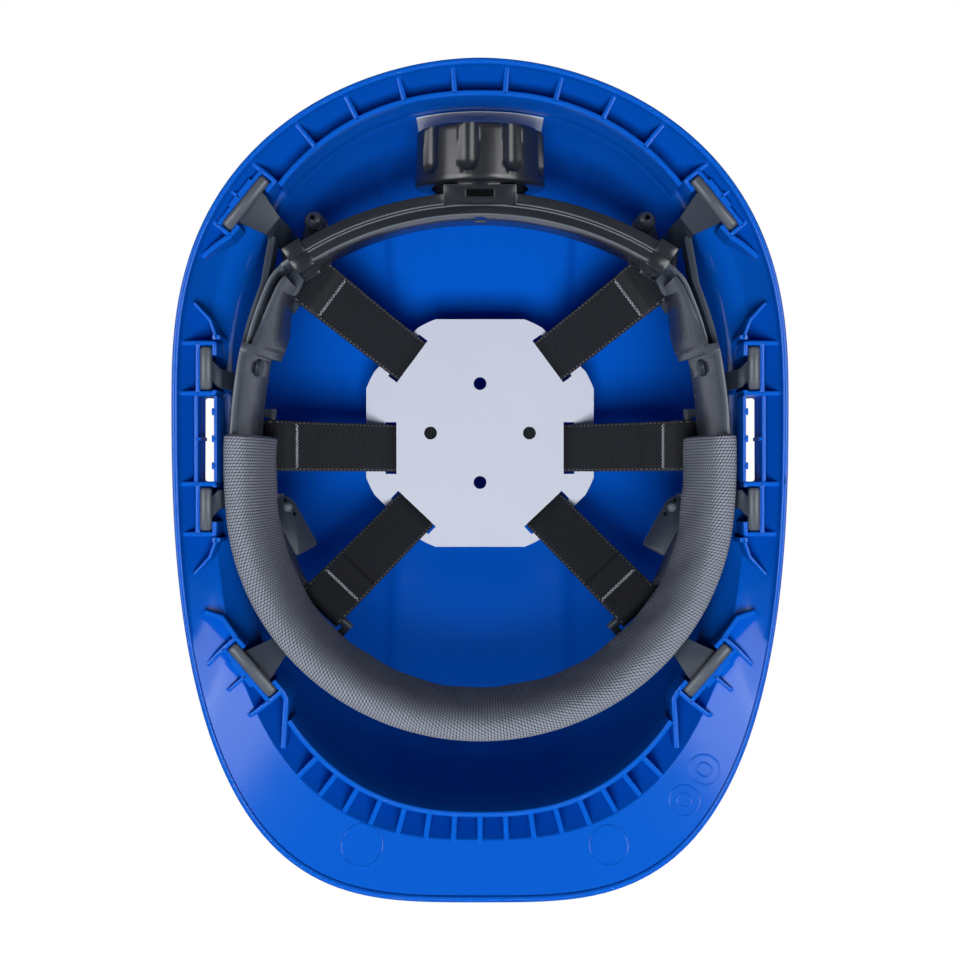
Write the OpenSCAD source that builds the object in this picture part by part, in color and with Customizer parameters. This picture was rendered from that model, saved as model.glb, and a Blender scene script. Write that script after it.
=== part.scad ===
// Industrial safety helmet: a moulded shell with a ribbed double rim, a six-point webbing cradle,
// a padded headband and a rear ratchet that draws the two band arms into a nape channel.
// Millimetres. +Z is the crown, the peak points along -Y, the knob along +Y, +X is the wearer's left.

/* [Shell] */
// Length over the peak and the rear lip
shell_l = 295; // [285:1:305]
// Width over the side lips
shell_w = 215.5; // [209:0.5:222]
// Height of the crown above the rim
shell_h = 150; // [145:1:158]
// Wall thickness
wall = 2.6; // [2.2:0.1:3]
// Width of the flat lip under the rim
lip_w = 2.2; // [1.8:0.1:2.6]
// Height of the lip face
lip_h = 4; // [3.4:0.1:4.6]
// Height at which the skirt leaves the dome
skirt_h = 28; // [26:0.5:31]
// Reach of the skirt behind the dome
rear_skirt = 13; // [12:0.5:14.5]
// Reach of the skirt beside the dome
side_skirt = 17.25; // [16.5:0.25:18]
// Reach of the peak in front of the dome
peak_reach = 31.5; // [29:0.5:34]
// Distance of the widest station behind the middle
waist_y = 27.5; // [25:0.5:30]
// Width of the raised ridge over the crown
ridge_w = 62; // [54:1:70]
// Height of that ridge
ridge_h = 3; // [2:0.5:4]

/* [Ribs and sockets] */
// Thickness of ribs and ring wall
rib_t = 2; // [1.6:0.1:2.4]
// Height of rib and wall edges above the rim plane
rib_z = 3; // [2:0.5:4]
// Ribs between the rear sockets
rear_ribs = 8; // [6:2:10]
// Ribs between peak and front wall
peak_ribs = 15; // [11:2:17]
// Running room round a lug in its socket
lug_gap = 0.4; // [0.3:0.05:0.6]
// Length of a corner lug head
lug_l = 22; // [20:0.5:24]
// Thickness of a lug head
lug_t = 3.2; // [2.8:0.1:3.6]
// Height of a lug head
lug_h = 6; // [5:0.5:6.5]
// Length of a side lug head
side_lug_l = 15; // [13:0.5:16]
// Width of a hanger stem
stem_w = 13; // [11:0.5:14]
// Length of the accessory slot
slot_l = 30; // [28:0.5:32]
// Width of the accessory slot
slot_w = 5.5; // [5:0.1:6]
// Middle of the accessory slot
slot_y = 14.5; // [12:0.5:17]

/* [Cradle] */
// Webbing width
web_w = 19; // [17:0.5:20]
// Webbing thickness
web_t = 1.4; // [1.2:0.1:1.6]
// Height of the crown pad
pad_z = 104; // [98:1:108]
// Distance of the pad centre behind the middle
pad_y = 19; // [16:0.5:22]
// Length and width of the crown pad
pad_w = 92; // [88:1:96]
// Thickness of the crown pad
pad_t = 1.2; // [1:0.1:1.6]
// Radius of the pad's four vent holes
pad_hole_r = 2.6; // [2:0.1:3]
// Height of the strap bars on the hangers
bar_z = 49; // [48:0.5:52]
// Diameter of a strap bar
bar_d = 3.4; // [3:0.1:3.8]
// Thickness of the hanger mouldings
hanger_t = 2.4; // [2:0.1:2.8]

/* [Headband] */
// Radius of the band across the nape
nape_r = 120; // [117:1:123]
// Radius of the band at its rear corners
corner_r = 14; // [12:0.5:16]
// Radius of the band along the temples
temple_r = 200; // [194:1:206]
// Gap from the shell's inside wall to the band's line at the temples
temple_gap = 6.4; // [5.4:0.1:7]
// Gap from the shell's inside wall to the band's line at the brow
brow_gap = 30.3; // [29:0.1:32]
// Thickness of the band
band_t = 2; // [1.6:0.1:2.2]
// Lower edge of the band
band_z = 9; // [8:0.5:10]
// Height of the band
band_h = 31; // [29:0.5:32]
// Inward lean of the band at the temples
band_lean = 13; // [10:1:15]
// Thickness of the sweatband
sweat_t = 6.6; // [5:0.2:7.2]

/* [Ratchet] */
// Knob diameter
knob_d = 47; // [44:0.5:47.5]
// Knob length
knob_l = 20.4; // [19:0.2:22]
// Room between the knob and the rear wall
knob_gap = 9; // [7:0.1:10]
// Grip flutes round the knob
flutes = 9; // [7:1:10]
// Height of the knob axis
knob_z = 24; // [24:0.1:25]
// Pinion teeth
pinion_teeth = 12; // [11:1:13]
// Gear module
gear_module = 1; // [0.9:0.05:1.05]
// Thickness of each rack
rack_t = 1.6; // [1.4:0.1:1.8]
// Gap between sliding faces
slide_gap = 0.3; // [0.2:0.05:0.4]
// Wall of the nape channel
channel_t = 2.1; // [1.8:0.1:2.4]
// Running clearance of the pinion shaft
shaft_gap = 0.05; // [0.03:0.01:0.08]

/* [Hidden] */
$fn = 48;
shell_blue = [0.02, 0.25, 0.72];
cradle_grey = [0.27, 0.29, 0.33];
web_black = [0.08, 0.08, 0.1];
pad_grey = [0.78, 0.81, 0.86];
sweat_grey = [0.45, 0.47, 0.52];
ratchet_black = [0.09, 0.09, 0.1];
label_white = [0.93, 0.94, 0.95];
steel = [0.7, 0.7, 0.72];

// Plan outlines: half width, rear and front reach from the waist, then the bulge powers
// across and along behind the waist, and across and along in front of it
ring_half = shell_w / 2 - side_skirt;
ring_rear = shell_l / 2 - rear_skirt - waist_y;
rim_shape = [shell_w / 2, shell_l / 2 - waist_y, shell_l / 2 + waist_y, 1.9, 2.6, 3.4, 2.5];
ring_shape = [ring_half, ring_rear, shell_l / 2 - peak_reach + waist_y, 2.2, 2.3, 2.45, 2.45];
waist = [0, waist_y];
crown_y = 12;
dome_power = 2.4;
skirt_power = 1.5;
peak_power = 0.6;
ring_steps = 72;
dome_steps = 9;
skirt_steps = 4;
ridge_edge = 12;
past = 1;
// How far one form stands inside the next, so that no two of their faces share a plane
seat = 0.15;

// Sockets: bearing of each corner lug seen from the waist, distance outside the dome, and lug heading
rear_bearing = 40.3;
rear_out = 7.6;
rear_yaw = 39;
front_bearing = -49.7;
front_out = 4.2;
front_yaw = -41;
lug_z = 2.6;
side_lug_off = slot_l / 2 + side_lug_l / 2 + 2.2;
side_lug_x = ring_half + wall + slot_w / 2 + 0.2;
socket_t = 1.8;
cheek_draft = 0.6;
wall_bow = 0.25;
side_stem_w = 6.4;

// Stations along the band, as lengths from the nape centre
channel_half = rack_t + slide_gap * 1.5 + channel_t;
collar_gap = 2.9;
nape_y = shell_l / 2 - rear_skirt - knob_gap - knob_l - collar_gap - channel_half;
corner_turn = 72;
temple_turn = 96;
nape_reach = ring_half - temple_gap - corner_r * sin(corner_turn) - temple_r * (1 - sin(corner_turn));
nape_turn = asin(nape_reach / (nape_r - corner_r));
nape_len = nape_r * nape_turn * PI / 180;
corner_len = nape_len + corner_r * (corner_turn - nape_turn) * PI / 180;
temple_len = corner_len + temple_r * (temple_turn - corner_turn) * PI / 180;
brow_r = band_p(temple_turn).x / sin(temple_turn);
brow_y = brow_gap + peak_reach - shell_l / 2;
brow_stretch = (band_p(temple_turn).y - brow_y) / (brow_r * (1 + cos(temple_turn)));
band_len = temple_len + brow_r * (180 - temple_turn) * PI / 180;
arm_end = corner_len + 68;
sweat_end = arm_end - 13;
lean_z = band_z + band_h / 2;
fork_at = nape_len + 34;
rear_rivet_at = fork_at + 4.2;
front_rivet_at = temple_len - 2;
rear_bar_at = nape_len - 4;
side_bar_at = sweat_end + 2;
front_bar_at = temple_len + 44;
rear_inset = 5;
side_inset = 6;
front_inset = 11;
tab_w = 14;
rivet_r = 1.8;
rivet_head_r = 3.4;
rivet_gap = 0.15;
strip_h = 12;
lean_run = 32;
strip_from = nape_len + 8;
fork_n = band_t * 1.2;
band_top = band_z + band_h;
strip_z = band_top + 3;
strip_out = 2.4;
strip_in = band_t / 2 + 0.4;
front_rivet_z = strip_z + strip_h / 2 - 1;
rear_rivet_z = lean_z;
finger_z = band_top + 1;
rivet_head_h = 1.1;
side_riser_x = 5.2;
side_lean = 8.2;
side_t = 1.4;
side_shift = 3.4;

// Crown pad slits: distance and bearing from the pad centre
slit_r = 42;
side_slit_r = 36;
rear_slit_turn = 46;
front_slit_turn = -50;
slit_w = 4.4;
web_gap = 0.3;

// Ratchet
pitch_r = pinion_teeth * gear_module / 2;
tip_r = pitch_r + gear_module;
root_r = pitch_r - 1.2 * gear_module;
mesh_gap = 0.2;
rack_half = tip_r + gear_module + 3;
rack_tail = 26;
rack_teeth = 15;
rack_slot = nape_len - 8;
shaft_r = 4;
stub_r = 2.4;
collar_r = 16.6;
collar_t = 2.2;
click_teeth = 24;
click_h = 0.9;
mouth = 7;

function mix(a, b, t) = a + (b - a) * t;
function clamp01(t) = max(0, min(1, t));
function smooth(t) = let (c = clamp01(t)) c * c * (3 - 2 * c);
function unit(v) = v / norm(v);
function polar(r, a) = [r * cos(a), r * sin(a)];
function flip(p) = [-p.x, p.y];

// Distance from the waist to a bulged outline along a bearing, by halving
function bulge(r, a, s) = let (k = sin(a) >= 0 ? 0 : 1)
    pow(abs(r * cos(a)) / s[0], s[3 + 2 * k]) + pow(abs(r * sin(a)) / s[1 + k], s[4 + 2 * k]);
function reach(a, s, lo = 0, hi = 400, n = 24) = let (m = (lo + hi) / 2) n == 0 ? m
    : bulge(m, a, s) > 1 ? reach(a, s, lo, m, n - 1) : reach(a, s, m, hi, n - 1);
function on_outline(a, s, out = 0) = waist + polar(reach(a, s) + out, a);
function outline_normal(a, s) = let (t = on_outline(a + 1, s) - on_outline(a - 1, s)) unit([t.y, -t.x]);

// A point of the skirt, u = 0 at the dome and 1 at the lip
function bend(a) = mix(skirt_power, peak_power, pow(max(0, -sin(a)), 3));
function skirt_z(a, u, low, high) = low + (high - low) * (1 - pow(u, bend(a)));
function skirt_point(a, u, inner, outer, low, high) = let (p = waist
    + polar(mix(reach(a, ring_shape) + inner, reach(a, rim_shape) - outer, u), a))
    [p.x, p.y, skirt_z(a, u, low, high)];

// A point of the dome, t = 0 at the skirt and 90 at the crown
function dome_point(a, t, out, low, top) = let (rise = pow(sin(t), 2 / dome_power),
    shrink = pow(max(0, cos(t)), 2 / dome_power),
    p = [0, mix(waist_y, crown_y, rise * rise)] + polar((reach(a, ring_shape) + out) * shrink, a),
    lift = ridge_h * smooth((ridge_w / 2 + ridge_edge - abs(p.x)) / ridge_edge) * smooth(rise * 2 - 0.2))
    [p.x, p.y, mix(low, top - ridge_h, rise)] + lift * unit([p.x, p.y - crown_y, top - low] + [0, 0, 0.01]);

module skin(loops, top) {
    n = len(loops[0]);
    last = len(loops) - 1;
    points = concat([for (l = loops) each l], [top]);
    sides = [for (j = [0:last - 1], i = [0:n - 1]) let (k = (i + 1) % n)
        each [[j * n + i, (j + 1) * n + i, (j + 1) * n + k], [j * n + i, (j + 1) * n + k, j * n + k]]];
    cap = [for (i = [0:n - 1]) [last * n + i, (last + 1) * n, last * n + (i + 1) % n]];
    polyhedron(points, concat(sides, cap, [[for (i = [0:n - 1]) i]]));
}

function bearings() = [for (i = [0:ring_steps - 1]) (i + 0.5) * 360 / ring_steps];
function at_height(p, z) = [p.x, p.y, z];

// The shell's form, as far inside its outer face as depth says
module shell_form(depth, foot) {
    inset = lip_w * depth / wall;
    skin(concat(
        [[for (a = bearings()) at_height(on_outline(a, rim_shape, -inset), foot)]],
        [for (j = [skirt_steps:-1:1]) [for (a = bearings())
            skirt_point(a, j / skirt_steps, wall - depth, inset, lip_h - depth, skirt_h - depth)]],
        [for (j = [0:dome_steps - 1]) [for (a = bearings())
            dome_point(a, j * 90 / dome_steps, wall - depth, skirt_h - depth, shell_h - depth)]]),
        [0, crown_y, shell_h - depth]);
}

// Plan of a wall from one point to the next
module wall_run(points, t = rib_t)
    for (i = [0:len(points) - 2])
        hull()
            for (p = [points[i], points[i + 1]])
                translate(p)
                    circle(d = t, $fn = 8);

function ring_line(a) = on_outline(a, ring_shape, wall / 2);
function rib_line(a, reach_out) = let (p = ring_line(a))
    [p, p + reach_out * outline_normal(a, ring_shape)];

// Lug places: [plan point, heading] on the wearer's left
rear_lug = [on_outline(rear_bearing, ring_shape, rear_out), rear_yaw];
front_lug = [on_outline(front_bearing, ring_shape, front_out), front_yaw];
function from_lug(lug, out, along) = lug[0] + polar(out, lug[1]) + polar(along, lug[1] + 90);

pocket_half = lug_l / 2 + lug_gap + socket_t / 2;
pocket_out = lug_t / 2 + lug_gap + socket_t / 2;
// The outer wall ends inside the cheeks
pocket_end = pocket_half - socket_t / 4;
throat = stem_w / 2 + lug_gap + socket_t / 2;

// A pocket that takes a corner lug: outer wall, two cheeks and two returns beside the stem
module lug_socket(lug, out_reach) {
    for (side = [-1, 1]) {
        wall_run([from_lug(lug, -pocket_out, side * throat), from_lug(lug, -pocket_out, side * pocket_half),
            from_lug(lug, pocket_out, side * pocket_half),
            from_lug(lug, pocket_out + out_reach, side * (pocket_half - cheek_draft))], t = socket_t);
    }
    wall_run([from_lug(lug, pocket_out, -pocket_end), from_lug(lug, pocket_out + wall_bow, 0),
        from_lug(lug, pocket_out, pocket_end)], t = socket_t);
    wall_run([from_lug(lug, pocket_out, 0), from_lug(lug, pocket_out + out_reach, 0)], t = rib_t * 0.7);
    wall_run([from_lug(lug, pocket_out + socket_t / 2, -lug_l / 5),
        from_lug(lug, pocket_out + socket_t / 2, lug_l / 3)], t = socket_t);
}

side_pocket_x = side_lug_x + pocket_out;
side_wall_x = side_lug_x - pocket_out;
side_half = side_lug_l / 2 + lug_gap + socket_t / 2;
side_end = side_half - socket_t / 4;
side_throat = side_stem_w / 2 + lug_gap + socket_t / 2;

// Pockets for the two side lugs, and the walls that frame the accessory slot
module side_sockets() {
    far = shell_w / 2;
    for (side = [-1, 1]) {
        y = slot_y + side * side_lug_off;
        wall_run([[side_wall_x, y - side * (side_throat + side_shift * 0.95)],
            [side_wall_x, y - side * side_half], [far, y - side * side_half]], t = socket_t);
        wall_run([[side_wall_x, y + side * side_throat], [side_wall_x, y + side * side_half],
            [far, y + side * side_half]], t = socket_t);
        wall_run([[side_pocket_x, y - side_end], [side_pocket_x, y + side_end]], t = socket_t);
        pin_y = y + side * (side_half + 2);
        translate([side_wall_x - 0.6, pin_y])
            circle(d = 3, $fn = 12);
        wall_run([[side_wall_x - 0.6, pin_y], [side_wall_x + 1.5, pin_y + side * 6],
            [side_wall_x + 7, pin_y + side * 12]], t = rib_t * 0.6);
    }
    wall_run([[side_wall_x, slot_y - slot_l / 2], [side_wall_x, slot_y + slot_l / 2]], t = socket_t);
    wall_run([[slot_in + slot_w + socket_t / 3, slot_y - slot_l / 2],
        [slot_in + slot_w + socket_t / 3, slot_y + slot_l / 2]], t = socket_t);
}

slot_in = ring_half + wall + 0.2;

module half_ribs() {
    lug_socket(rear_lug, rear_skirt);
    lug_socket(front_lug, side_skirt);
    side_sockets();
    for (k = [0:rear_ribs / 2 - 1])
        wall_run(rib_line(90 - (k + 0.5) * 9.4, rear_skirt));
    for (k = [1:(peak_ribs - 1) / 2])
        wall_run(rib_line(-90 + k * 3.5, peak_reach / 3));
    rear_end = from_lug(rear_lug, -pocket_out, -pocket_half);
    wall_run([rear_end, rear_end + [4.5, -3], rear_end + [10, -7.5]]);
    front_end = from_lug(front_lug, -pocket_out, pocket_half);
    wall_run([front_end, front_end + [5, 7], front_end + [11, 9]]);
    brow_end = from_lug(front_lug, -pocket_out, -pocket_half);
    wall_run([brow_end, brow_end + [-1.5, -3], brow_end + [-0.5, -20]]);
}

rear_ring_end = 47.5;
front_ring_end = -60.5;

module rib_plan() {
    half_ribs();
    mirror([1, 0, 0])
        half_ribs();
    wall_run(rib_line(-90, peak_reach / 3));
    wall_run([for (i = [0:16]) ring_line(mix(rear_ring_end, 180 - rear_ring_end, i / 16))]);
    wall_run([for (i = [0:14]) ring_line(mix(front_ring_end, -180 - front_ring_end, i / 14))]);
}

module shell() color(shell_blue) difference() {
    union() {
        difference() {
            shell_form(0, 0);
            shell_form(wall, -past);
        }
        intersection() {
            shell_form(wall / 2, 0);
            translate([0, 0, rib_z])
                linear_extrude(skirt_h + 2 - rib_z)
                    rib_plan();
        }
    }
    for (side = [0, 1])
        mirror([side, 0, 0])
            translate([slot_in, slot_y - slot_l / 2, -past])
                cube([slot_w, slot_l, skirt_h]);
}

// A blank sticker on the rear inside wall, following the dome
label_t = 0.3;
label_gap = 0.1;
label_cols = 5;
label_rows = 3;
function label_point(i, j, off) = dome_point(90 + (i - label_cols / 2) * 360 / ring_steps, j * 90 / dome_steps,
    -label_gap - off, skirt_h - wall, shell_h - wall);
module inner_label() color(label_white) {
    n = label_cols;
    m = label_rows;
    rows = [for (off = [0, label_t]) [for (j = [0:m]) [for (i = [0:n]) label_point(i, j, off)]]];
    points = [for (r = rows) each [for (row = r) each row]];
    w = n + 1;
    s = w * (m + 1);
    front = [for (j = [0:m - 1], i = [0:n - 1]) let (q = j * w + i)
        each [[q, q + w, q + 1], [q + 1, q + w, q + w + 1]]];
    back = [for (f = front) [f[2] + s, f[1] + s, f[0] + s]];
    edge = concat([for (i = [0:n]) i], [for (j = [1:m]) j * w + n], [for (i = [n - 1:-1:0]) m * w + i],
        [for (j = [m - 1:-1:1]) j * w]);
    rim = [for (k = [0:len(edge) - 1]) let (a = edge[k], b = edge[(k + 1) % len(edge)])
        each [[a, b, b + s], [a, b + s, a + s]]];
    polyhedron(points, concat(front, back, rim));
}

// The band's plan line by heading: nape, corner, temple and brow arcs, each tangent to the next
function band_p(h) = h <= nape_turn ? [0, nape_y] + nape_r * [sin(h), cos(h) - 1]
    : h <= corner_turn ? band_p(nape_turn) + corner_r * [sin(h) - sin(nape_turn), cos(h) - cos(nape_turn)]
    : h <= temple_turn ? band_p(corner_turn) + temple_r * [sin(h) - sin(corner_turn), cos(h) - cos(corner_turn)]
    : band_p(temple_turn) + brow_r * [sin(h) - sin(temple_turn), brow_stretch * (cos(h) - cos(temple_turn))];
function heading(s) = s <= nape_len ? s / nape_r * 180 / PI
    : s <= corner_len ? nape_turn + (s - nape_len) / corner_r * 180 / PI
    : s <= temple_len ? corner_turn + (s - corner_len) / temple_r * 180 / PI
    : temple_turn + (s - temple_len) / brow_r * 180 / PI;
// A point n inside the band's line at station s; past the brow centre it is on the other side
function band_xy(s, n = 0) = s > band_len ? flip(band_xy(2 * band_len - s, n))
    : let (h = heading(s)) band_p(h) + n * [-sin(h), -cos(h)];
function lean_at(s) = band_lean * smooth((min(s, 2 * band_len - s) - nape_len) / lean_run);
function band_xyz(s, n, z) = at_height(band_xy(s, n + (z - lean_z) * tan(lean_at(s))), z);

// A solid through a list of equal rings of points
module loft(rings) {
    n = len(rings[0]);
    m = len(rings);
    sides = [for (j = [0:m - 2], i = [0:n - 1]) let (k = (i + 1) % n)
        each [[j * n + i, (j + 1) * n + i, (j + 1) * n + k], [j * n + i, (j + 1) * n + k, j * n + k]]];
    polyhedron([for (r = rings) each r],
        concat([[for (i = [0:n - 1]) i]], sides, [[for (i = [0:n - 1]) m * n - 1 - i]]));
}

// A strip of the band between two stations, with a lower and an upper edge at each
module band_strip(s0, s1, n_out, n_in, edges, steps)
    loft([for (i = [0:steps]) let (s = mix(s0, s1, i / steps), e = edges(s))
        [for (q = [[n_out, e[0]], [n_out, e[1]], [n_in, e[1]], [n_in, e[0]]]) band_xyz(s, q[0], q[1])]]);

// Places its children square to the band's face, Z pointing inward
module on_band(s, n, z)
    translate(band_xyz(s, n, z))
        rotate([0, 0, -heading(s)])
            rotate([90 + lean_at(s), 0, 0])
                children();

module headband() color(cradle_grey) {
    tab_on = front_rivet_at - tab_w / 2 - 5;
    tab_off = front_rivet_at + tab_w / 2 - 1;
    tab = function(s) [band_z, band_top + strip_h * (smooth((s - tab_on) / 6) - smooth((s - tab_off) / 6))];
    edges = function(s) tab(min(s, 2 * band_len - s));
    difference() {
        band_strip(arm_end + slide_gap, 2 * band_len - arm_end - slide_gap, -band_t / 2, band_t / 2, edges, 84);
        for (side = [0, 1])
            mirror([side, 0, 0])
                on_band(front_rivet_at, 0, front_rivet_z)
                    cylinder(r = rivet_r + rivet_gap, h = 4 * band_t, center = true);
    }
}

// Rear arm of the band: a plate that forks into the rack tongue and an eyed finger over the channel
module band_arm(up) {
    plate = function(s) [band_z + 3 * smooth((fork_at - s) / 12),
        band_top - 3 + 6 * smooth((fork_at + 2 - s) / 14)];
    eye = at_height(band_xy(nape_len - 16, -11), finger_z);
    root = at_height(band_xyz(nape_len + 5, fork_n + band_t / 2, finger_z), finger_z);
    difference() {
        union() {
            band_strip(fork_at - 2, arm_end, -band_t / 2, band_t / 2, plate, 14);
            band_strip(nape_len + 3, fork_at, fork_n, fork_n + band_t, plate, 14);
            band_strip(fork_at - 3, fork_at, -band_t / 2, fork_n + band_t, plate, 2);
            hull() {
                translate(root)
                    cylinder(d = 5, h = 2, $fn = 12);
                translate(eye)
                    cylinder(d = 8, h = 2, $fn = 24);
            }
        }
        translate(eye)
            cylinder(d = 3.2, h = 12, center = true, $fn = 24);
        on_band(rear_rivet_at, 0, rear_rivet_z)
            cylinder(r = rivet_r + rivet_gap, h = 6 * band_t, center = true, $fn = 24);
    }
    rack(up);
}

rack_edge = tip_r + 0.8 * gear_module;
tooth_edge = pitch_r - 0.8 * gear_module;
// The toothed tongue: a slotted strip on the nape arc whose upper or lower slot edge carries the teeth
module rack(up) {
    r0 = nape_r + (up ? slide_gap / 2 : -slide_gap / 2 - rack_t);
    pitch = PI * gear_module;
    step = pitch / nape_r * 180 / PI;
    translate([0, nape_y - nape_r, knob_z])
        difference() {
            arc_strip(r0, rack_t, -rack_half, rack_half, -rack_tail, nape_len + 1);
            arc_strip(r0 - past, rack_t + 2 * past, up ? -rack_edge : -tooth_edge, up ? tooth_edge : rack_edge,
                -rack_tail + 4, rack_slot);
            for (k = [0:rack_teeth - 1])
                rotate([0, 0, (4 - k) * step])
                    translate([0, r0 + rack_t / 2, (up ? 1 : -1) * pitch_r])
                        rotate([90, 0, 0])
                            linear_extrude(rack_t + 2 * past, center = true)
                                tooth_gap(pitch, up ? 1 : -1);
        }
    tongue = function(s) [knob_z - rack_half + seat + 2 * smooth((s - nape_len) / 30),
        knob_z + rack_half - seat - 4 * smooth((s - nape_len) / 30)];
    band_strip(nape_len - 1, fork_at - 1, nape_r - r0 - rack_t + seat, nape_r - r0 - seat, tongue, 14);
}

module tooth_gap(pitch, way) {
    deep = pitch / 4 - 0.38 * gear_module;
    wide = pitch / 4 + 0.42 * gear_module + mesh_gap / 2;
    scale([1, way])
        polygon([[-deep, 1.25 * gear_module], [deep, 1.25 * gear_module],
            [wide, -gear_module], [-wide, -gear_module]]);
}

// A strip on the nape arc: lengths are measured from the rear centre towards the wearer's left
module arc_strip(r, t, z0, z1, s0, s1) {
    turn = 180 / PI / nape_r;
    rotate([0, 0, 90 - s1 * turn])
        rotate_extrude(angle = (s1 - s0) * turn, $fn = 120)
            translate([r, z0])
                square([t, z1 - z0]);
}

module band_arm_left() color(cradle_grey) band_arm(true);
module band_arm_right() color(cradle_grey) mirror([1, 0, 0]) band_arm(false);

// A plastic rivet through two layers of the band, from n0 outside to n1 inside
module rivet(s, n0, n1, z)
    on_band(s, 0, z) {
        translate([0, 0, n0 - rivet_gap / 2])
            cylinder(r = rivet_r, h = n1 - n0 + rivet_gap);
        translate([0, 0, n0 - rivet_gap - rivet_head_h])
            cylinder(r1 = rivet_head_r - 0.8, r2 = rivet_head_r, h = rivet_head_h);
        translate([0, 0, n0 - 2 * rivet_gap])
            cylinder(r = rivet_r, h = 2 * rivet_gap);
        translate([0, 0, n1 + rivet_gap])
            cylinder(r1 = rivet_head_r, r2 = rivet_head_r - 0.8, h = rivet_head_h);
        translate([0, 0, n1 - rivet_gap])
            cylinder(r = rivet_r, h = 3 * rivet_gap);
    }
module rear_rivets() color(cradle_grey)
    for (side = [0, 1])
        mirror([side, 0, 0])
            rivet(rear_rivet_at, -strip_out - band_t, band_t / 2, rear_rivet_z);
module front_rivets() color(cradle_grey)
    for (side = [0, 1])
        mirror([side, 0, 0])
            rivet(front_rivet_at, -band_t / 2, strip_in + band_t, front_rivet_z);

// Padded strip folded round the band's lower edge, from temple to temple
module sweatband() color(sweat_grey) {
    in = band_t / 2 + web_gap;
    low = band_z - web_gap;
    top = band_top + 1.5;
    section = [[-in, low + 8], [-in - 0.7, low + 7], [-in - 0.8, low - 1.5], [-in + 0.3, low - 4.2],
        [in + 1.5, low - 5.4], [in + sweat_t * 0.7, low - 3.6], [in + sweat_t * 0.95, low + 3],
        [in + sweat_t, low + 12], [in + sweat_t * 0.9, top - 8], [in + sweat_t * 0.55, top - 1.4],
        [in + sweat_t * 0.25, top], [in, top - 1], [in, low], [-in, low]];
    n = len(section);
    loft([for (i = [0:60]) let (s = mix(sweat_end, 2 * band_len - sweat_end, i / 60))
        [for (k = [n - 1:-1:0]) band_xyz(s, section[k][0], section[k][1])]]);
}

// Strap bars and pad slits in plan, wearer's left: rear, side, front
bars = [band_xy(rear_bar_at, rear_inset), band_xy(side_bar_at, side_inset), band_xy(front_bar_at, front_inset)];
slits = [[0, pad_y] + polar(slit_r, rear_slit_turn), [side_slit_r, bars[1].y],
    [0, pad_y] + polar(slit_r, front_slit_turn)];

// One half of a strap as [point, width direction]: sewn tail, round the bar, up to the slit, over the pad
function half_strap(bar, slit, layer) = let (
    d = unit(slit - bar), far = norm(slit - bar), rho = bar_d / 2 + web_gap + web_t / 2,
    e = unit([far, pad_z + pad_t / 2 - bar_z]), m = [-e.y, e.x],
    lap = rho - web_t - 0.25, end = [far, pad_z + pad_t / 2], start = rho * m,
    draw_in = rho / norm(end - [0, bar_z]),
    tail = [[25, lap - 25 * draw_in], [18, lap - 18 * draw_in], [13, lap - 0.3 - 13 * draw_in],
        [8, lap - 2.2], [3.5, -rho]],
    path = concat([for (q = tail) q[0] * e + q[1] * m],
        [for (w = [180:-30:0]) rho * (cos(w) * m - sin(w) * e)],
        [for (t = [0.33, 0.66, 1]) mix(start, end - [0, bar_z], t)],
        [end - [0, bar_z] + 3 * e, [far + 6, layer + 0.5 - bar_z], [far + 10, layer - bar_z]]))
    [for (q = path) [[bar.x + d.x * q.x, bar.y + d.y * q.x, bar_z + q.y], [-d.y, d.x, 0]]];

function turned(list) = [for (i = [len(list) - 1:-1:0]) [list[i][0], -list[i][1]]];
function bridge(a, b) = [for (t = [0.25, 0.5, 0.75]) [mix(a[0], b[0], t), unit(mix(a[1], b[1], t))]];

module ribbon(list) {
    last = len(list) - 1;
    loft([for (i = [0:last]) let (p = list[i][0], s = list[i][1] * web_w / 2,
        way = list[min(last, i + 1)][0] - list[max(0, i - 1)][0],
        up = unit(cross(way, list[i][1])) * web_t / 2)
        [p + s + up, p + s - up, p - s - up, p - s + up]]);
}

module strap(bar_a, slit_a, bar_b, slit_b, level) {
    layer = pad_z + pad_t + web_gap + web_t / 2 + level * (web_t + web_gap);
    a = half_strap(bar_a, slit_a, layer);
    b = half_strap(bar_b, slit_b, layer);
    ribbon(concat(a, bridge(a[len(a) - 1], turned(b)[0]), turned(b)));
}

module strap_cross() color(web_black) strap(bars[1], slits[1], flip(bars[1]), flip(slits[1]), 0);
module strap_diagonal_left() color(web_black) strap(bars[0], slits[0], flip(bars[2]), flip(slits[2]), 1);
module strap_diagonal_right() color(web_black) strap(flip(bars[0]), flip(slits[0]), bars[2], slits[2], 2);

module crown_pad() color(pad_grey)
    translate([0, 0, pad_z])
        difference() {
            linear_extrude(pad_t)
                hull()
                    for (x = [-1, 1], y = [-1, 1], k = [[0.53, 0.93], [0.93, 0.5]])
                        translate([x * k[0] * pad_w / 2, pad_y + y * k[1] * pad_w / 2])
                            circle(d = 0.07 * pad_w, $fn = 16);
            for (side = [0, 1], k = [0:2])
                mirror([side, 0, 0])
                    translate([slits[k].x, slits[k].y, 0])
                        rotate([0, 0, atan2(bars[k].y - slits[k].y, bars[k].x - slits[k].x)])
                            cube([slit_w, web_w + 2, 4 * pad_t], center = true);
            for (a = [0, 90, 180, 270])
                translate([20 * cos(a), pad_y + 20 * sin(a), -past])
                    cylinder(r = pad_hole_r, h = pad_t + 2 * past, $fn = 32);
        }

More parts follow.
